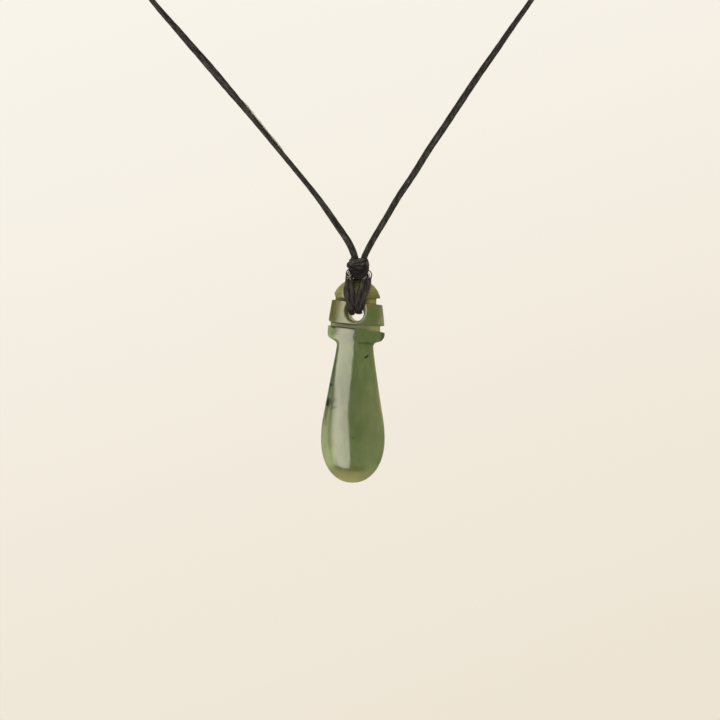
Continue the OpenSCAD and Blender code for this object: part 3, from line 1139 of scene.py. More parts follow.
    def barrel(self, finish: bpy.types.Material) -> bpy.types.Object:
        """The barrel knot at the nape: close turns of the cord's own end, with the end tucked through.

        Args:
            finish: the waxed thread.

        Returns:
            The barrel.
        """
        draft = MeshDraft(NAPE)
        half = self.barrel_length / 2 - self.barrel_strand_r
        turn = np.linspace(0.0, 2 * math.pi * self.barrel_turns, 36 * self.barrel_turns + 1)
        share = turn / turn[-1]
        near_end = np.abs(share - 0.5) - (0.5 - self.barrel_tuck_over)
        tucked = np.clip(near_end / self.barrel_tuck_over, 0, 1) ** 2
        radius = self.barrel_coil_r * (1.0 - self.barrel_tuck * tucked)
        coil = np.stack([half * (2 * share - 1), radius * np.sin(turn), radius * np.cos(turn)], axis=1)
        coil += np.array([0.0, 0.0, self.diameter / 2 - self.barrel_sink])
        half_sizes = np.full((len(coil), 2), self.barrel_strand_r) * (0.96, 1.0)
        Strand(np.column_stack([coil, half_sizes]), (1.0, 0.0, 0.0), seed=9, sides=18).into(draft)
        return draft.piece("closure_barrel_knot", finish)


@dataclass
class Lashing:
    """The two bundles of doubled cord that hold the stone.

    Each table row gives the depth out from the stone's middle, the height above the hole, the left
    bundle's outer and inner edges, the right bundle's inner and outer edges, and the half thickness of the
    left bundle and of the right one. The two cords of a bundle lie on each other within stacked_under of
    the middle, and beside each other beyond abreast_from.
    """

    table: tuple[tuple[float, ...], ...] = (
        (0.00, 0.48, -1.78, -0.20, -0.22, 1.62, 0.85, 0.56),
        (0.90, 0.50, -1.78, -0.20, -0.22, 1.62, 0.85, 0.56),
        (1.90, 0.72, -1.80, -0.22, -0.22, 1.62, 0.80, 0.60),
        (2.75, 1.55, -2.02, -0.27, -0.24, 1.74, 0.72, 0.68),
        (3.30, 2.65, -2.40, -0.34, -0.24, 2.00, 0.70, 0.70),
        (3.55, 4.00, -2.84, -0.42, -0.15, 2.33, 0.66, 0.68),
        (3.60, 5.60, -3.13, -0.52, 0.34, 2.80, 0.66, 0.66),
        (3.52, 7.00, -2.97, -0.75, 0.82, 3.32, 0.66, 0.66),
        (3.15, 8.20, -2.82, -0.93, 1.15, 3.52, 0.66, 0.66),
        (2.45, 9.20, -2.66, -0.95, 1.22, 3.30, 0.66, 0.66),
        (1.60, 10.00, -2.25, -0.60, 0.95, 2.60, 0.66, 0.66),
        (0.95, 10.70, -1.70, -0.30, 0.70, 2.10, 0.62, 0.62),
    )
    spacing: float = 0.22
    overlap: float = 1.22
    stacked_under: float = 1.7
    abreast_from: float = 3.2

    def rows(self) -> np.ndarray:
        """The table run out from the front of the knot, through the hole and up to its back.

        Returns:
            Rows like the table's.
        """
        table = np.array(self.table, float)
        front = table[::-1].copy()
        front[:, 0] *= -1
        return np.concatenate([front, table[1:]])

    def strand(self, outer: int, inner: int, thick: int, lane: float, seed: int) -> Strand:
        """One of a bundle's two cords: beside the other on the stone's faces, and on it inside the hole.

        Args:
            outer: the table's column for the bundle's outer edge.
            inner: the column for its inner edge.
            thick: the column for its half thickness.
            lane: 1 or -1, the side of the bundle's middle that it keeps to.
            seed: picks its irregularities.

        Returns:
            The strand.
        """
        rows = self.rows()
        middle = (rows[:, outer] + rows[:, inner]) / 2
        half = np.abs(rows[:, outer] - rows[:, inner]) / 2
        path = np.column_stack([middle, rows[:, 0], rows[:, 1], half, rows[:, thick]])
        path = evened(curve_through(path, 12), self.spacing)
        wide, deep = Strand(path, (1.0, 0.0, 0.0)).frames()
        share = (np.abs(path[:, 1]) - self.stacked_under) / (self.abreast_from - self.stacked_under)
        abreast = eased(share)[:, None]
        angle = (1 - abreast) * math.pi / 2
        half, thickness = path[:, 3:4], path[:, 4:5]
        beside = lane * half / 2 * np.cos(angle) * wide
        over = lane * thickness / 2 * np.sin(angle) * deep
        sizes = [
            half * (abreast * self.overlap / 2 + (1 - abreast)),
            thickness * (abreast + (1 - abreast) * self.overlap / 2),
        ]
        run = run_lengths(path[:, :3])[:, None]
        sizes[0] = sizes[0] * (1.0 + 0.05 * ripple(run, 5.0, seed))
        laid = np.column_stack([path[:, :3] + beside + over, *sizes])
        return Strand(laid, (1.0, 0.0, 0.0), lay=24.0, seed=seed, sides=20, valley=0.06)

    def build(self, finish: bpy.types.Material) -> None:
        """Makes both bundles.

        Args:
            finish: the waxed thread.
        """
        for name, outer, inner, thick, seed in (("left", 2, 3, 6, 11), ("right", 5, 4, 7, 21)):
            draft = MeshDraft(HOLE)
            for lane in (-1, 1):
                self.strand(outer, inner, thick, lane, seed + lane).into(draft)
            piece = draft.piece(f"lashing_cords_{name}", finish)
            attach(piece, Body.CORD.value)
            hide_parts(f"lashing_{name}")
            LOG.info("lashing %s, %d faces", name, len(piece.data.polygons))


@dataclass
class Knot:
    """The knot over the crest: turns of cord drawn tight round the ends, with strands that cross them.

    turns gives x, height, half span across, half span deep, roll and pitch in degrees and the cord's half
    size of each turn. crossings are the middle lines of the strands over them, each after its half size.
    Their width and thickness are crossing_sizes of that. threads are the middle lines of the loose ones at
    the sides, after the half size and how far they are painted pale, as glints on loose fibres. heart and
    heart_half place the bulge in the middle.
    """

    turns: tuple[tuple[float, ...], ...] = (
        (0.25, 13.00, 1.65, 1.35, -5.0, 8.0, 0.66),
        (0.45, 11.90, 1.95, 1.55, 9.0, -4.0, 0.74),
        (0.42, 10.05, 1.62, 1.55, -8.0, 3.0, 0.74),
    )
    crossings: tuple[tuple[float, tuple[tuple[float, float, float], ...]], ...] = (
        (
            0.66,
            (
                (1.9, 0.3, 13.4), (1.5, -1.1, 13.4), (0.3, -2, 13), (-1.2, -1.9, 12.6),
                (-2.1, -0.9, 12.25), (-2, 0.4, 11.9),
            ),
        ),
        (
            0.72,
            (
                (1.7, 0.2, 14.3), (2.25, -0.6, 13.2), (2.45, -1.5, 12.1), (2.3, -2.3, 11), (1.8, -2.9, 10.1),
                (0.9, -3.15, 9.28), (-0.1, -3.1, 9.25), (-1, -2.6, 9.8), (-1.1, -1.8, 10.8),
            ),
        ),
        (
            0.70,
            (
                (-1.2, -0.2, 14), (-1.1, -1.5, 13.2), (-0.3, -2.45, 12.2), (0.7, -2.75, 11.3),
                (1.6, -2.3, 10.8), (2.1, -1.2, 10.6),
            ),
        ),
        (
            0.66,
            (
                (-1.8, -0.5, 11.7), (-1.4, -1.7, 11.1), (-0.5, -2.6, 10.5), (0.6, -2.8, 10.2),
                (1.4, -2.1, 9.9), (1.6, -1, 9.7),
            ),
        ),
        (
            0.62,
            (
                (-1.8, 0.5, 12.3), (-1.85, -0.7, 11.7), (-1.5, -1.4, 10.9), (-1.2, -1.7, 10),
                (-0.9, -1.3, 9.4),
            ),
        ),
        (
            0.70,
            (
                (2.3, -0.2, 12.8), (1.9, 1.2, 12.5), (0.8, 2.2, 12), (-0.5, 2.3, 11.2), (-1.4, 1.4, 10.5),
                (-1.6, 0.2, 10.2),
            ),
        ),
        (
            0.70,
            (
                (-1.4, -0.1, 13.5), (-1, 1.3, 13.1), (0.2, 2.2, 12.7), (1.4, 2.2, 11.7), (2.1, 1.3, 10.8),
                (2.1, 0.1, 10.3),
            ),
        ),
        (
            0.68,
            (
                (-1.2, 0.1, 9.8), (-0.7, 1.6, 9.6), (0.4, 2.3, 9.4), (1.4, 1.7, 9.6), (1.8, 0.3, 10),
            ),
        ),
    )
    threads: tuple[tuple[float, float, tuple[tuple[float, float, float], ...]], ...] = (
        (
            0.15, 0.0,
            ((-1.5, -1.6, 11), (-2.3, -1.9, 10.8), (-2.65, -2.2, 10.1), (-2.6, -2.7, 9.4), (-2.2, -3.2, 9)),
        ),
        (0.17, 0.0, ((-1.4, -2, 10.7), (-1.75, -2.5, 9.9), (-2, -3.1, 9.2), (-2.1, -3.6, 8.4))),
        (
            0.14, 0.0,
            ((2.2, -1.4, 10.9), (3, -1.6, 10.8), (3.6, -1.9, 10.2), (3.65, -2.3, 9.3), (3.4, -3, 8.3)),
        ),
        (0.17, 0.0, ((2.1, -1.8, 10.4), (2.7, -2.4, 9.8), (3.05, -2.9, 9), (3, -3.4, 8))),
        (0.12, 0.6, ((-2.1, -2.5, 10.5), (-1.75, -2.8, 10.1), (-1.9, -3, 9.8))),
        (0.13, 0.6, ((-2.5, -3.1, 9.35), (-2.1, -3.4, 9.1), (-1.65, -3.5, 9.3), (-1.4, -3.3, 9.55))),
        (0.10, 0.5, ((-2.45, -3.6, 8.5), (-2.1, -3.75, 8.8), (-1.8, -3.6, 8.9))),
        (
            0.13, 0.75,
            ((2.65, -2.4, 10.5), (3.05, -2.5, 10.1), (3.2, -2.7, 9.6), (3.25, -3, 9), (3.1, -3.4, 8.5)),
        ),
        (0.11, 0.5, ((2.4, -3.2, 9.4), (2.15, -3.5, 9.05), (1.8, -3.7, 8.8))),
        (0.10, 0.3, ((-1.7, -1.7, 12.6), (-1.3, -2.3, 12.9), (-0.8, -2.7, 12.7))),
        (0.13, 0.9, ((-2.35, -2.9, 10.2), (-2.05, -3.1, 9.85), (-1.75, -3.2, 9.5))),
        (0.10, 0.7, ((-1.9, -3.3, 9), (-1.6, -3.6, 8.6), (-1.5, -3.75, 8.1))),
        (0.13, 0.95, ((2.85, -2.7, 10), (3.15, -2.9, 9.4), (3, -3.2, 8.9))),
        (0.10, 0.6, ((2.95, -3.5, 7.9), (2.75, -3.8, 7.3), (2.8, -3.95, 6.7))),
        (0.12, 0.25, ((-2.2, -0.9, 12.4), (-2.5, -1.3, 12.1), (-2.4, -1.8, 11.6), (-1.9, -2.3, 11.2))),
    )
    crossing_sizes: tuple[float, float] = (1.04, 0.92)
    crossing_spacing: float = 0.18
    thread_spacing: float = 0.12
    heart: tuple[float, float, float] = (0.38, 0.0, 11.5)
    heart_half: tuple[float, float, float] = (1.8, 1.75, 2.45)

    def turn_rows(self, row: tuple[float, ...]) -> tuple[np.ndarray, tuple[float, float, float]]:
        """One closed turn.

        Args:
            row: a row of turns.

        Returns:
            Its middle line with half sizes, and the direction that its width lies along.
        """
        across, up, span, deep, roll, pitch, half = row
        angle = np.linspace(0, 2 * math.pi, 64, endpoint=False)
        ring = np.stack([span * np.cos(angle), deep * np.sin(angle), 0.06 * np.sin(3 * angle + up)], axis=1)
        tilt = Matrix.Rotation(math.radians(-roll), 3, "Y") @ Matrix.Rotation(math.radians(pitch), 3, "X")
        ring = ring @ np.array(tilt).T + (across, 0.0, up)
        sizes = np.full((len(ring), 2), half)
        normal = tilt @ Vector((0.0, 0.0, 1.0))
        return np.column_stack([ring, sizes]), tuple(normal)

    def packing(self) -> Strand:
        """The bulge of cord in the knot's middle, which the turns close round.

        Returns:
            The strand.
        """
        angle = np.linspace(0.02, math.pi - 0.02, 30)[:, None]
        path = np.array(self.heart) + np.cos(angle) * (0.0, 0.0, self.heart_half[2])
        sizes = np.sin(angle) ** 0.7 * self.heart_half[:2]
        rows = np.column_stack([path, sizes])
        return Strand(rows, (1.0, 0.0, 0.0), lay=8.0, seed=51, sides=28, valley=0.12, plies=5)

    def build(self, finish: bpy.types.Material) -> None:
        """Makes the knot.

        Args:
            finish: the waxed thread.
        """
        draft = MeshDraft(HOLE)
        self.packing().into(draft)
        for i, row in enumerate(self.turns):
            rows, normal = self.turn_rows(row)
            Strand(rows, normal, lay=5.0, seed=31 + i, closed=True, sides=22, valley=0.10).into(draft)
        for i, (half, line) in enumerate(self.crossings):
            path = evened(curve_through(np.array(line), 16), self.crossing_spacing)
            taper = np.sin(np.linspace(0.15, math.pi - 0.15, len(path))) ** 0.3
            laid = np.column_stack([path, *(half * size * taper for size in self.crossing_sizes)])
            Strand(laid, (0.0, 0.0, 1.0), lay=5.0, seed=41 + i, sides=22, valley=0.16).into(draft)
        # The loose threads' pale share is painted glint.
        for i, (half, bare_and_glint, line) in enumerate(self.threads):
            path = evened(curve_through(np.array(line), 16), self.thread_spacing)
            laid = np.column_stack([path, np.full((len(path), 2), half)])
            Strand(laid, (0.0, 0.0, 1.0), lay=3.0, seed=61 + i, sides=8, valley=0.1, bare_and_glint=bare_and_glint).into(draft)
        piece = draft.piece("tight_knot", finish)
        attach(piece, Body.CORD.value)
        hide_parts("knot")
        LOG.info("knot, %d faces", len(piece.data.polygons))


def rounded_max(a: np.ndarray, b: np.ndarray, radius: float) -> np.ndarray:
    """The larger of two distances, eased where they meet.

    Args:
        a: one distance.
        b: the other.
        radius: how far the easing reaches.

    Returns:
        The eased maximum.
    """
    near = np.maximum(radius - np.abs(a - b), 0.0)
    return np.maximum(a, b) + near * near / (4.0 * radius)


@dataclass
class Stone:
    """The carved and polished stone, as the zero surface of a distance field.

    flanks rows are height, left half width and right half width. section rows are height, how much thinner
    the flanks are than the middle ridge, and the squareness of the section. Groove rows are x and height
    along the groove's upper or lower edge. Each core is the left and right half width of the stone inside
    its groove. sway_by and tip_sway are how far the blade and its tip bend to the left. second_drill is how
    far right and up the hole from the back is from the one from the front.
    The names that end in down are distances below the hole, those in soft and ease how widely a corner is
    rounded, and those in least keep a size from reaching nothing. high_soft and low_soft round the
    sections' corners above and below low_from.
    """

    dome_r: float = 6.07
    dome_up: float = 2.67
    dome_x: float = 0.1
    butt_half_t: float = 2.6
    neck_half_w: float = 4.59
    neck_soft: float = 1.2
    blade_half_w: float = 7.97
    widest_down: float = 31.2
    tip_down: float = 42.27
    blade_half_t: float = 2.75
    ridge_soft: float = 0.3
    sections: tuple[tuple[float, float, float], ...] = (
        (9.0, 0.10, 2.8), (2.0, 0.13, 2.8), (-1.5, 0.18, 3.0), (-5.2, 0.22, 3.4), (-7.8, 0.13, 12.0),
        (-14.0, 0.11, 8.0), (-18.0, 0.085, 4.7), (-22.0, 0.072, 3.3), (-25.5, 0.052, 2.8),
        (-29.0, 0.012, 2.5), (-35.0, 0.048, 2.1), (-42.3, 0.05, 2.0),
    )
    sway_by: float = 0.17
    sway_from: float = 4.0
    sway_over: float = 33.0
    tip_sway: float = 0.08
    tip_sway_from: float = 33.0
    tip_sway_over: float = 6.0
    taper: float = 0.171
    shoulder_r: float = 29.8
    crest_round: float = 2.5
    tip_curve: float = 2.15
    tip_round: float = 2.4
    tip_round_from: float = 22.0
    groove_deep: float = 0.42
    hole_r: float = 1.9
    second_drill: tuple[float, float] = (0.75, 0.12)
    drills_meet: float = 0.5
    mouth_r: float = 2.85
    mouth_ball_r: float = 4.6
    mouth_left: float = 0.23
    mouth_up: float = 0.75
    flanks: tuple[tuple[float, float, float], ...] = (
        (3.40, 6.05, 6.45), (1.60, 6.34, 6.66), (0.00, 6.59, 6.88), (-1.60, 6.78, 7.05),
        (-3.30, 6.93, 7.20), (-4.60, 7.00, 7.29), (-5.20, 7.00, 7.31), (-5.70, 6.86, 7.22),
        (-6.10, 6.52, 7.02), (-6.50, 5.86, 6.74), (-6.85, 5.22, 6.34), (-7.00, 5.00, 5.66),
        (-7.15, 4.86, 5.10), (-7.45, 4.70, 4.74), (-7.90, 4.60, 4.54),
    )
    upper_groove_top: tuple[tuple[float, float], ...] = (
        (-9, 4.90), (-5.50, 4.85), (-5.15, 4.10), (-4.90, 3.85), (0, 3.70), (6.10, 3.95), (9, 4.10),
    )
    upper_groove_foot: tuple[tuple[float, float], ...] = (
        (-9, 3.40), (-6.10, 3.38), (-3.50, 3.20), (2.50, 2.60), (6.50, 2.30), (9, 2.20),
    )
    lower_groove_top: tuple[tuple[float, float], ...] = (
        (-9, -1.70), (-6.75, -1.90), (-5.60, -2.34), (-0.30, -2.72), (6.20, -2.97), (7.10, -2.95), (9, -2.90),
    )
    lower_groove_foot: tuple[tuple[float, float], ...] = (
        (-9, -2.90), (-6.90, -3.00), (-5.60, -3.30), (-0.30, -3.84), (6.20, -4.38), (7.30, -4.62), (9, -4.75),
    )
    upper_core: tuple[float, float] = (5.20, 5.02)
    lower_core: tuple[float, float] = (6.28, 6.12)
    edge_ease: float = 0.20
    rim_ease: float = 0.30
    floor_ease: float = 0.22
    dish_ease: float = 0.15
    flank_soft: float = 0.08
    flank_margin: float = 0.6
    thins_from_up: float = 2.0
    thins_over: float = 16.0
    high_soft: float = 0.45
    low_soft: float = 2.0
    low_from: float = 10.0
    low_over: float = 5.0
    least_half_w: float = 0.12
    least_half_t: float = 0.06
    least_flank: float = 0.3
    profile_span: tuple[float, float] = (-43.0, 9.6)
    profile_step: float = 0.02
    slope_reach: float = 0.012
    longest_step: float = 0.12
    cell: float = 0.16
    net_low: tuple[float, float, float] = (-8.6, -3.2, -42.8)
    net_size: tuple[float, float, float] = (17.1, 6.4, 52.2)

    def __post_init__(self) -> None:
        """Works out the profile once, at close heights."""
        heights = np.arange(*self.profile_span, self.profile_step)
        shoulder = math.atan(self.taper)
        self.shoulder_down = self.widest_down - self.shoulder_r * math.sin(shoulder)
        self.shoulder_half_w = self.blade_half_w - self.shoulder_r * (1 - math.cos(shoulder))
        top, foot = self.flanks[0][0] + self.flank_margin, self.flanks[-1][0] - self.flank_margin
        worn = (heights < top) & (heights > foot)
        left, right = (
            np.where(worn, softened(half, self.profile_step, self.flank_soft), half)
            for half in self._half_widths(heights)
        )
        thins = eased((self.thins_from_up - heights) / self.thins_over)
        thick = self.butt_half_t + (self.blade_half_t - self.butt_half_t) * thins
        thick = thick * self._falling((heights - self.dome_up) / self.dome_r, self.crest_round)
        reach = self.tip_down - self.tip_round_from
        thick = thick * self._falling((-heights - self.tip_round_from) / reach, self.tip_round)
        table = np.array(self.sections)[::-1].T
        low = np.clip((-heights - self.low_from) / self.low_over, 0, 1)
        ridge, square = (
            softened(row, self.profile_step, self.high_soft) * (1 - low)
            + softened(row, self.profile_step, self.low_soft) * low
            for row in (np.interp(heights, table[0], row) for row in table[1:])
        )
        left, right = (np.maximum(half, self.least_half_w) for half in (left, right))
        thick = np.maximum(thick, self.least_half_t)
        self.profile = np.stack([heights, left, right, thick, ridge, square])

    @staticmethod
    def _falling(share: np.ndarray, power: float) -> np.ndarray:
        """Falls from 1 to 0 as share goes from 0 to 1, on a superellipse."""
        return (1 - np.clip(share, 0, 1) ** power) ** (1 / power)

    def _half_widths(self, z: np.ndarray) -> tuple[np.ndarray, np.ndarray]:
        """The left and right half widths in the front view.

        Args:
            z: heights above the hole.

        Returns:
            Left and right half widths.
        """
        table = np.array(self.flanks)[::-1]
        top, foot = table[-1, 0], table[0, 0]
        dome = np.sqrt(np.maximum(0.0, self.dome_r**2 - (z - self.dome_up) ** 2))
        soft = self.neck_soft
        opened = (np.hypot(foot - z, soft) - soft) / (np.hypot(foot + self.shoulder_down, soft) - soft)
        line = self.neck_half_w + (self.shoulder_half_w - self.neck_half_w) * opened
        line = np.minimum(self.shoulder_half_w, line)
        arc = self.blade_half_w - self.shoulder_r
        arc = arc + np.sqrt(np.maximum(0.0, self.shoulder_r**2 - (z + self.widest_down) ** 2))
        share = (-z - self.widest_down) / (self.tip_down - self.widest_down)
        end = self.blade_half_w * self._falling(share, self.tip_curve)
        blade = np.where(-z < self.shoulder_down, line, np.where(-z < self.widest_down, arc, end))
        sway = -self.sway_by * np.sin(math.pi * np.clip((-z - self.sway_from) / self.sway_over, 0, 1))
        sway = sway - self.tip_sway * np.clip((-z - self.tip_sway_from) / self.tip_sway_over, 0, 1)
        beyond = (z > self.dome_up + self.dome_r) | (z < -self.tip_down)
        halves = []
        for column, side in ((1, -1.0), (2, 1.0)):
            flank = np.interp(z, table[:, 0], table[:, column])
            lower = np.where(z > foot, flank, blade + side * sway)
            half = np.where(z > top, dome + side * self.dome_x, lower)
            halves.append(np.where(beyond, 0.0, half))
        return tuple(halves)

    def section_distance(
        self, p: np.ndarray, left: object, right: object, thick: object, ridge: object, square: object
    ) -> np.ndarray:
        """Distance from a cross-section with a soft middle ridge, below 0 inside it.

        Args:
            p: the points.
            left: half width on the left.
            right: half width on the right.
            thick: half thickness at the middle.
            ridge: how much thinner the flanks are than the middle.
            square: the section's squareness.

        Returns:
            About the distance, in millimetres.
        """
        wide = np.where(p[:, 0] < 0, left, right)
        u = np.abs(p[:, 0]) / wide
        soft = self.ridge_soft
        lean = (np.hypot(u, soft) - soft) / (math.hypot(1, soft) - soft)
        flank = thick * np.maximum(1 - ridge * lean, self.least_flank)
        v = np.abs(p[:, 1]) / flank
        size = np.maximum((u**square + v**square) ** (1 / square), 1e-3)
        slope = np.hypot((u / size) ** (square - 1) / wide, (v / size) ** (square - 1) / flank)
        return (size - 1) / np.maximum(slope, 1e-3)

    def blank_distance(self, p: np.ndarray) -> np.ndarray:
        """Distance from the stone before it was grooved and drilled.

        Args:
            p: the points.

        Returns:
            About the distance, below 0 inside.
        """
        sizes = (np.interp(p[:, 2], self.profile[0], row) for row in self.profile[1:])
        ends = np.maximum(p[:, 2] - self.dome_up - self.dome_r, -self.tip_down - p[:, 2])
        return np.maximum(self.section_distance(p, *sizes), ends)

    def groove_distance(
        self, p: np.ndarray, top: tuple, foot: tuple, core: tuple[float, float]
    ) -> np.ndarray:
        """Distance from one sawn groove, below 0 inside it.

        Args:
            p: the points.
            top: the groove's upper edge.
            foot: its lower edge.
            core: the left and right half widths of the stone left inside it.

        Returns:
            About the distance, in millimetres.
        """
        upper = np.interp(p[:, 0], *np.array(top).T)
        lower = np.interp(p[:, 0], *np.array(foot).T)
        slot = np.maximum(p[:, 2] - upper, lower - p[:, 2])
        ridge, square = (np.interp(p[:, 2], self.profile[0], row) for row in self.profile[4:])
        inside = self.section_distance(p, *core, self.butt_half_t - self.groove_deep, ridge, square)
        return rounded_max(slot, -inside, self.floor_ease)

    def hole_distance(self, p: np.ndarray) -> np.ndarray:
        """Distance from the hole and its dished mouths. It was drilled from both faces, a little out of line.

        Args:
            p: the points.

        Returns:
            About the distance, below 0 inside them.
        """
        meet = np.clip(p[:, 1] / self.drills_meet + 0.5, 0, 1)[:, None] * self.second_drill
        bore = np.hypot(p[:, 0] - meet[:, 0], p[:, 2] - meet[:, 1]) - self.hole_r
        away = self.butt_half_t + math.sqrt(self.mouth_ball_r**2 - self.mouth_r**2)
        out = np.abs(p[:, 1]) - away
        from_ball = np.stack([p[:, 0] + self.mouth_left, out, p[:, 2] - self.mouth_up], axis=1)
        dish = np.linalg.norm(from_ball, axis=1) - self.mouth_ball_r
        return -rounded_max(-bore, -dish, self.dish_ease)

    def distance(self, p: np.ndarray) -> np.ndarray:
        """Distance from the finished stone's surface.

        Args:
            p: the points.

        Returns:
            About the distance, below 0 inside.
        """
        whole = self.blank_distance(p)
        upper = self.groove_distance(p, self.upper_groove_top, self.upper_groove_foot, self.upper_core)
        lower = self.groove_distance(p, self.lower_groove_top, self.lower_groove_foot, self.lower_core)
        whole = rounded_max(whole, -upper, self.edge_ease)
        whole = rounded_max(whole, -lower, self.edge_ease)
        return rounded_max(whole, -self.hole_distance(p), self.rim_ease)

    def slope(self, p: np.ndarray) -> np.ndarray:
        """The distance's gradient.

        Args:
            p: the points.

        Returns:
            A vector for each point.
        """
        steps = np.eye(3) * self.slope_reach
        rises = [self.distance(p + step) - self.distance(p - step) for step in steps]
        return np.stack(rises, axis=1) / (2 * self.slope_reach)

    def onto_surface(self, p: np.ndarray, rounds: int) -> np.ndarray:
        """Moves points on to the surface, in short steps.

        Args:
            p: the points.
            rounds: how many steps.

        Returns:
            The moved points.
        """
        for _ in range(rounds):
            slope = self.slope(p)
            step = (self.distance(p) / np.maximum((slope**2).sum(1), 0.05))[:, None] * slope
            size = np.linalg.norm(step, axis=1)[:, None]
            p = p - step * np.minimum(1.0, self.longest_step / np.maximum(size, 1e-9))
        return p

    def net(self) -> tuple[np.ndarray, np.ndarray]:
        """A net of four-sided faces over the surface.

        Returns:
            Its points and its faces.
        """
        counts = np.ceil(np.array(self.net_size) / self.cell).astype(int) + 1
        axes = [low + self.cell * np.arange(n) for low, n in zip(self.net_low, counts)]
        grid = np.stack(np.meshgrid(*axes, indexing="ij"), axis=-1).reshape(-1, 3)
        depths = self.distance(grid).reshape(counts)
        inside = depths < 0
        cells = tuple(counts - 1)
        full = np.zeros(cells, int)
        for corner in CORNERS:
            full += inside[tuple(slice(low, low + n) for low, n in zip(corner, cells))]
        mixed = np.argwhere((full > 0) & (full < len(CORNERS)))
        number = np.full(cells, -1)
        number[tuple(mixed.T)] = np.arange(len(mixed))
        points = np.array(self.net_low) + self.cell * self._crossings(depths, mixed)
        return points, self._quads(inside, number)

    @staticmethod
    def _crossings(depths: np.ndarray, mixed: np.ndarray) -> np.ndarray:
        """Where the surface lies in each cell: the middle of its crossings with the cell's edges.

        Args:
            depths: the distance at the corners of all cells.
            mixed: the cells that the surface goes through.

        Returns:
            A place for each of them, counted in cells.
        """
        value = {corner: depths[tuple((mixed + corner).T)] for corner in CORNERS}
        total = np.zeros((len(mixed), 3))
        hits = np.zeros(len(mixed))
        for corner in CORNERS:
            for axis in range(3):
                if corner[axis]:
                    continue
                far = tuple(1 if a == axis else corner[a] for a in range(3))
                near_value, far_value = value[corner], value[far]
                cross = (near_value < 0) != (far_value < 0)
                share = np.where(cross, near_value / np.where(cross, near_value - far_value, 1.0), 0.0)
                place = np.array(corner, float) + share[:, None] * np.eye(3)[axis]
                total += place * cross[:, None]
                hits += cross
        return mixed + total / hits[:, None]

    @staticmethod
    def _quads(inside: np.ndarray, number: np.ndarray) -> np.ndarray:
        """A face round each edge of the grid that the surface crosses, turned outwards.

        Args:
            inside: whether each corner of the cells is in the stone.
            number: the number of each cell's point.

        Returns:
            The faces.
        """
        faces = []
        for axis in range(3):
            one, other = (axis + 1) % 3, (axis + 2) % 3
            first = np.take(inside, range(inside.shape[axis] - 1), axis)
            second = np.take(inside, range(1, inside.shape[axis]), axis)
            edges = np.argwhere(first != second)
            out = first[tuple(edges.T)]
            ring = []
            for back_one, back_other in ((1, 1), (0, 1), (0, 0), (1, 0)):
                cell = edges.copy()
                cell[:, one] -= back_one
                cell[:, other] -= back_other
                ring.append(number[tuple(cell.T)])
            quads = np.stack(ring, axis=1)
            faces.append(np.where(out[:, None], quads, quads[:, ::-1]))
        return np.concatenate(faces)

    def relaxed(self, points: np.ndarray, faces: np.ndarray, rounds: int) -> np.ndarray:
        """Evens out the net along the surface.

        Args:
            points: the net's points.
            faces: its faces.
            rounds: how many times.

        Returns:
            The moved points.
        """
        pairs = np.concatenate([faces[:, [i, (i + 1) % 4]] for i in range(4)])
        for _ in range(rounds):
            total = np.zeros_like(points)
            count = np.zeros(len(points))
            np.add.at(total, pairs[:, 0], points[pairs[:, 1]])
            np.add.at(count, pairs[:, 0], 1)
            points = self.onto_surface(0.5 * points + 0.5 * total / count[:, None], 2)
        return points

    def build(self, finish: bpy.types.Material) -> None:
        """Makes the stone.

        Args:
            finish: the polished nephrite.
        """
        points, faces = self.net()
        points = self.relaxed(self.onto_surface(points, 4), faces, 3)
        draft = MeshDraft(HOLE)
        left, right = (np.interp(points[:, 2], self.profile[0], row) for row in self.profile[1:3])
        rim = np.abs(points[:, 0]) / np.where(points[:, 0] < 0, left, right)
        draft.add(points, [faces], {"sunk": -self.blank_distance(points), "rim": rim})
        piece = draft.piece("mere_stone", finish)
        normals = self.slope(points)
        normals /= np.linalg.norm(normals, axis=1)[:, None]
        piece.data.normals_split_custom_set_from_vertices(normals.tolist())
        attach(piece, Body.STONE.value)
        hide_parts("mere")
        LOG.info("stone, %d points, %d faces", len(points), len(faces))


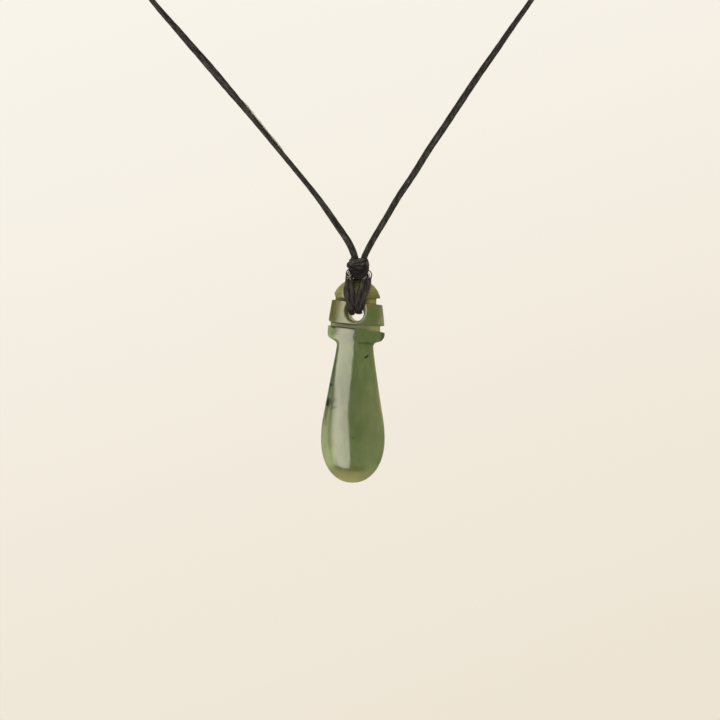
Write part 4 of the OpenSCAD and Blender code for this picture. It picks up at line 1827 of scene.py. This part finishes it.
@dataclass
class SoftLight:
    """One rectangular soft light, aimed at the stone.

    azimuth_deg is how far it stands left of the camera, and elevation_deg how far above the stone. Its
    left side falls off to edge of its full strength, and its right side to far. rise and fall are the
    shares of its width that they do so between, and shown is whether polished faces mirror it.
    """

    name: str
    azimuth_deg: float
    elevation_deg: float
    distance: float
    width: float
    height: float
    radiance: float
    edge: float = 1.0
    far: float = 1.0
    rise: tuple[float, float] = (-0.02, 0.58)
    fall: tuple[float, float] = (0.5, 1.1)
    shown: bool = True
    colour: tuple[float, float, float] = (1.0, 0.93, 0.77)
    target: tuple[float, float, float] = (0.0, 0.0, -0.178)

    def build(self) -> bpy.types.Object:
        """Makes the light.

        Returns:
            The light.
        """
        data = bpy.data.lights.new(self.name, "AREA")
        data.shape = "RECTANGLE"
        data.size = self.width
        data.size_y = self.height
        data.energy = self.radiance * math.pi * self.width * self.height
        data.color = self.colour
        if self.edge < 1.0:
            graph = Graph(data)
            across = graph.axes(graph.node("ShaderNodeNewGeometry", output="Parametric"))[0]
            risen = across.between(*self.rise) * (1.0 - self.edge) + self.edge
            fallen = 1.0 - across.between(*self.fall) * (1.0 - self.far)
            glow = graph.node("ShaderNodeEmission", None, {"Strength": risen * fallen})
            graph.node("ShaderNodeOutputLight", None, {"Surface": glow})
        lamp = bpy.data.objects.new(self.name, data)
        azimuth, elevation = math.radians(self.azimuth_deg), math.radians(self.elevation_deg)
        level = math.cos(elevation)
        away = Vector((-math.sin(azimuth) * level, -math.cos(azimuth) * level, math.sin(elevation)))
        lamp.location = Vector(self.target) + away * self.distance
        lamp.rotation_mode = "QUATERNION"
        lamp.rotation_quaternion = away.to_track_quat("Z", "Y")
        lamp.visible_camera = False
        lamp.visible_glossy = self.shown
        bpy.context.scene.collection.objects.link(lamp)
        return lamp


@dataclass
class Studio:
    """A plain pale floor that sweeps up all round, soft lights, and the air that polished faces mirror."""

    floor_down: float = -0.62
    floor_r: float = 2.6
    sweep_r: float = 1.2
    wall_up: float = 3.4
    around: int = 96
    air_front: float = 0.10
    air_back: float = 0.62
    air_span: tuple[float, float] = (-0.35, 0.8)
    air_colour: tuple[float, float, float] = (1.0, 0.97, 0.90)
    lights: tuple[SoftLight, ...] = (
        SoftLight("window_light", 20.0, 2.2, 1.0, 0.61, 0.98, 6.25, 0.10, 0.70),
        SoftLight("left_fill", 69.0, -14.0, 1.1, 1.25, 0.64, 1.35),
        SoftLight("right_fill", -62.0, 25.0, 1.3, 0.7, 0.9, 4.0, shown=False),
        SoftLight("back_fill", 165.0, 30.0, 1.5, 1.0, 0.9, 2.2, shown=False),
    )

    def backdrop(self, finish: bpy.types.Material) -> bpy.types.Object:
        """The floor with its swept wall, turned round one profile.

        Args:
            finish: the pale backdrop.

        Returns:
            The backdrop.
        """
        bend = np.linspace(0, math.pi / 2, 17)
        swept_r = self.floor_r + self.sweep_r * np.sin(bend)
        swept_up = self.floor_down + self.sweep_r * (1 - np.cos(bend))
        radii = np.concatenate([[self.floor_r / 2], swept_r, [self.floor_r + self.sweep_r]])[:, None]
        ups = np.concatenate([[self.floor_down], swept_up, [self.wall_up]])
        turn = np.arange(self.around) * 2 * math.pi / self.around
        level = np.repeat(ups[:, None], self.around, 1)
        rings = np.stack([radii * np.cos(turn), radii * np.sin(turn), level], axis=-1)
        points = np.concatenate([[[0.0, 0.0, self.floor_down]], rings.reshape(-1, 3)]) / MM
        k = np.arange(self.around)
        beside = (k + 1) % self.around
        centre = np.stack([np.zeros(self.around, int), 1 + k, 1 + beside], axis=1)
        start = 1 + np.arange(len(radii) - 1)[:, None] * self.around
        above = start + self.around
        quads = np.stack([start + k, above + k, above + beside, start + beside], axis=-1)
        draft = MeshDraft(NAPE)
        draft.add(points, [centre, quads.reshape(-1, 4)], {})
        made = draft.piece("backdrop", finish)
        made.visible_glossy = False
        return made

    def build(self, finish: bpy.types.Material) -> None:
        """Makes the backdrop, the lights and the ambient light.

        Args:
            finish: the pale backdrop.
        """
        self.backdrop(finish)
        for light in self.lights:
            light.build()
        world = bpy.data.worlds.new("studio_air")
        graph = Graph(world)
        behind = graph.axes(graph.node("ShaderNodeTexCoord", output="Generated"))[1]
        strength = behind.between(*self.air_span) * (self.air_back - self.air_front) + self.air_front
        sockets = {"Color": (*self.air_colour, 1.0), "Strength": strength}
        air = graph.node("ShaderNodeBackground", None, sockets)
        graph.node("ShaderNodeOutputWorld", None, {"Surface": air})
        bpy.context.scene.world = world
        bpy.context.scene.view_settings.view_transform = "Standard"
        LOG.info("studio, %d lights", len(self.lights))


def main() -> None:
    """Builds the pendant round its solids."""
    logging.basicConfig(level=logging.INFO, format="%(message)s")
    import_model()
    PhotoCamera().build()
    thread = WaxedThread("waxed_thread").material()
    NeckCord().build(WaxedThread("waxed_cord_thread", wear_and_sheen=0.38).material())
    Lashing().build(thread)
    # The knot's grey streaks are a painted highlight on its upper part.
    Knot().build(WaxedThread("drawn_tight_thread", wear_and_sheen=0.90, depth=0.00026, worn=(10.4, 12.9)).material())
    Stone().build(PolishedNephrite().material())
    Studio().build(PaleBackdrop().material())


if __name__ == "__main__":
    main()
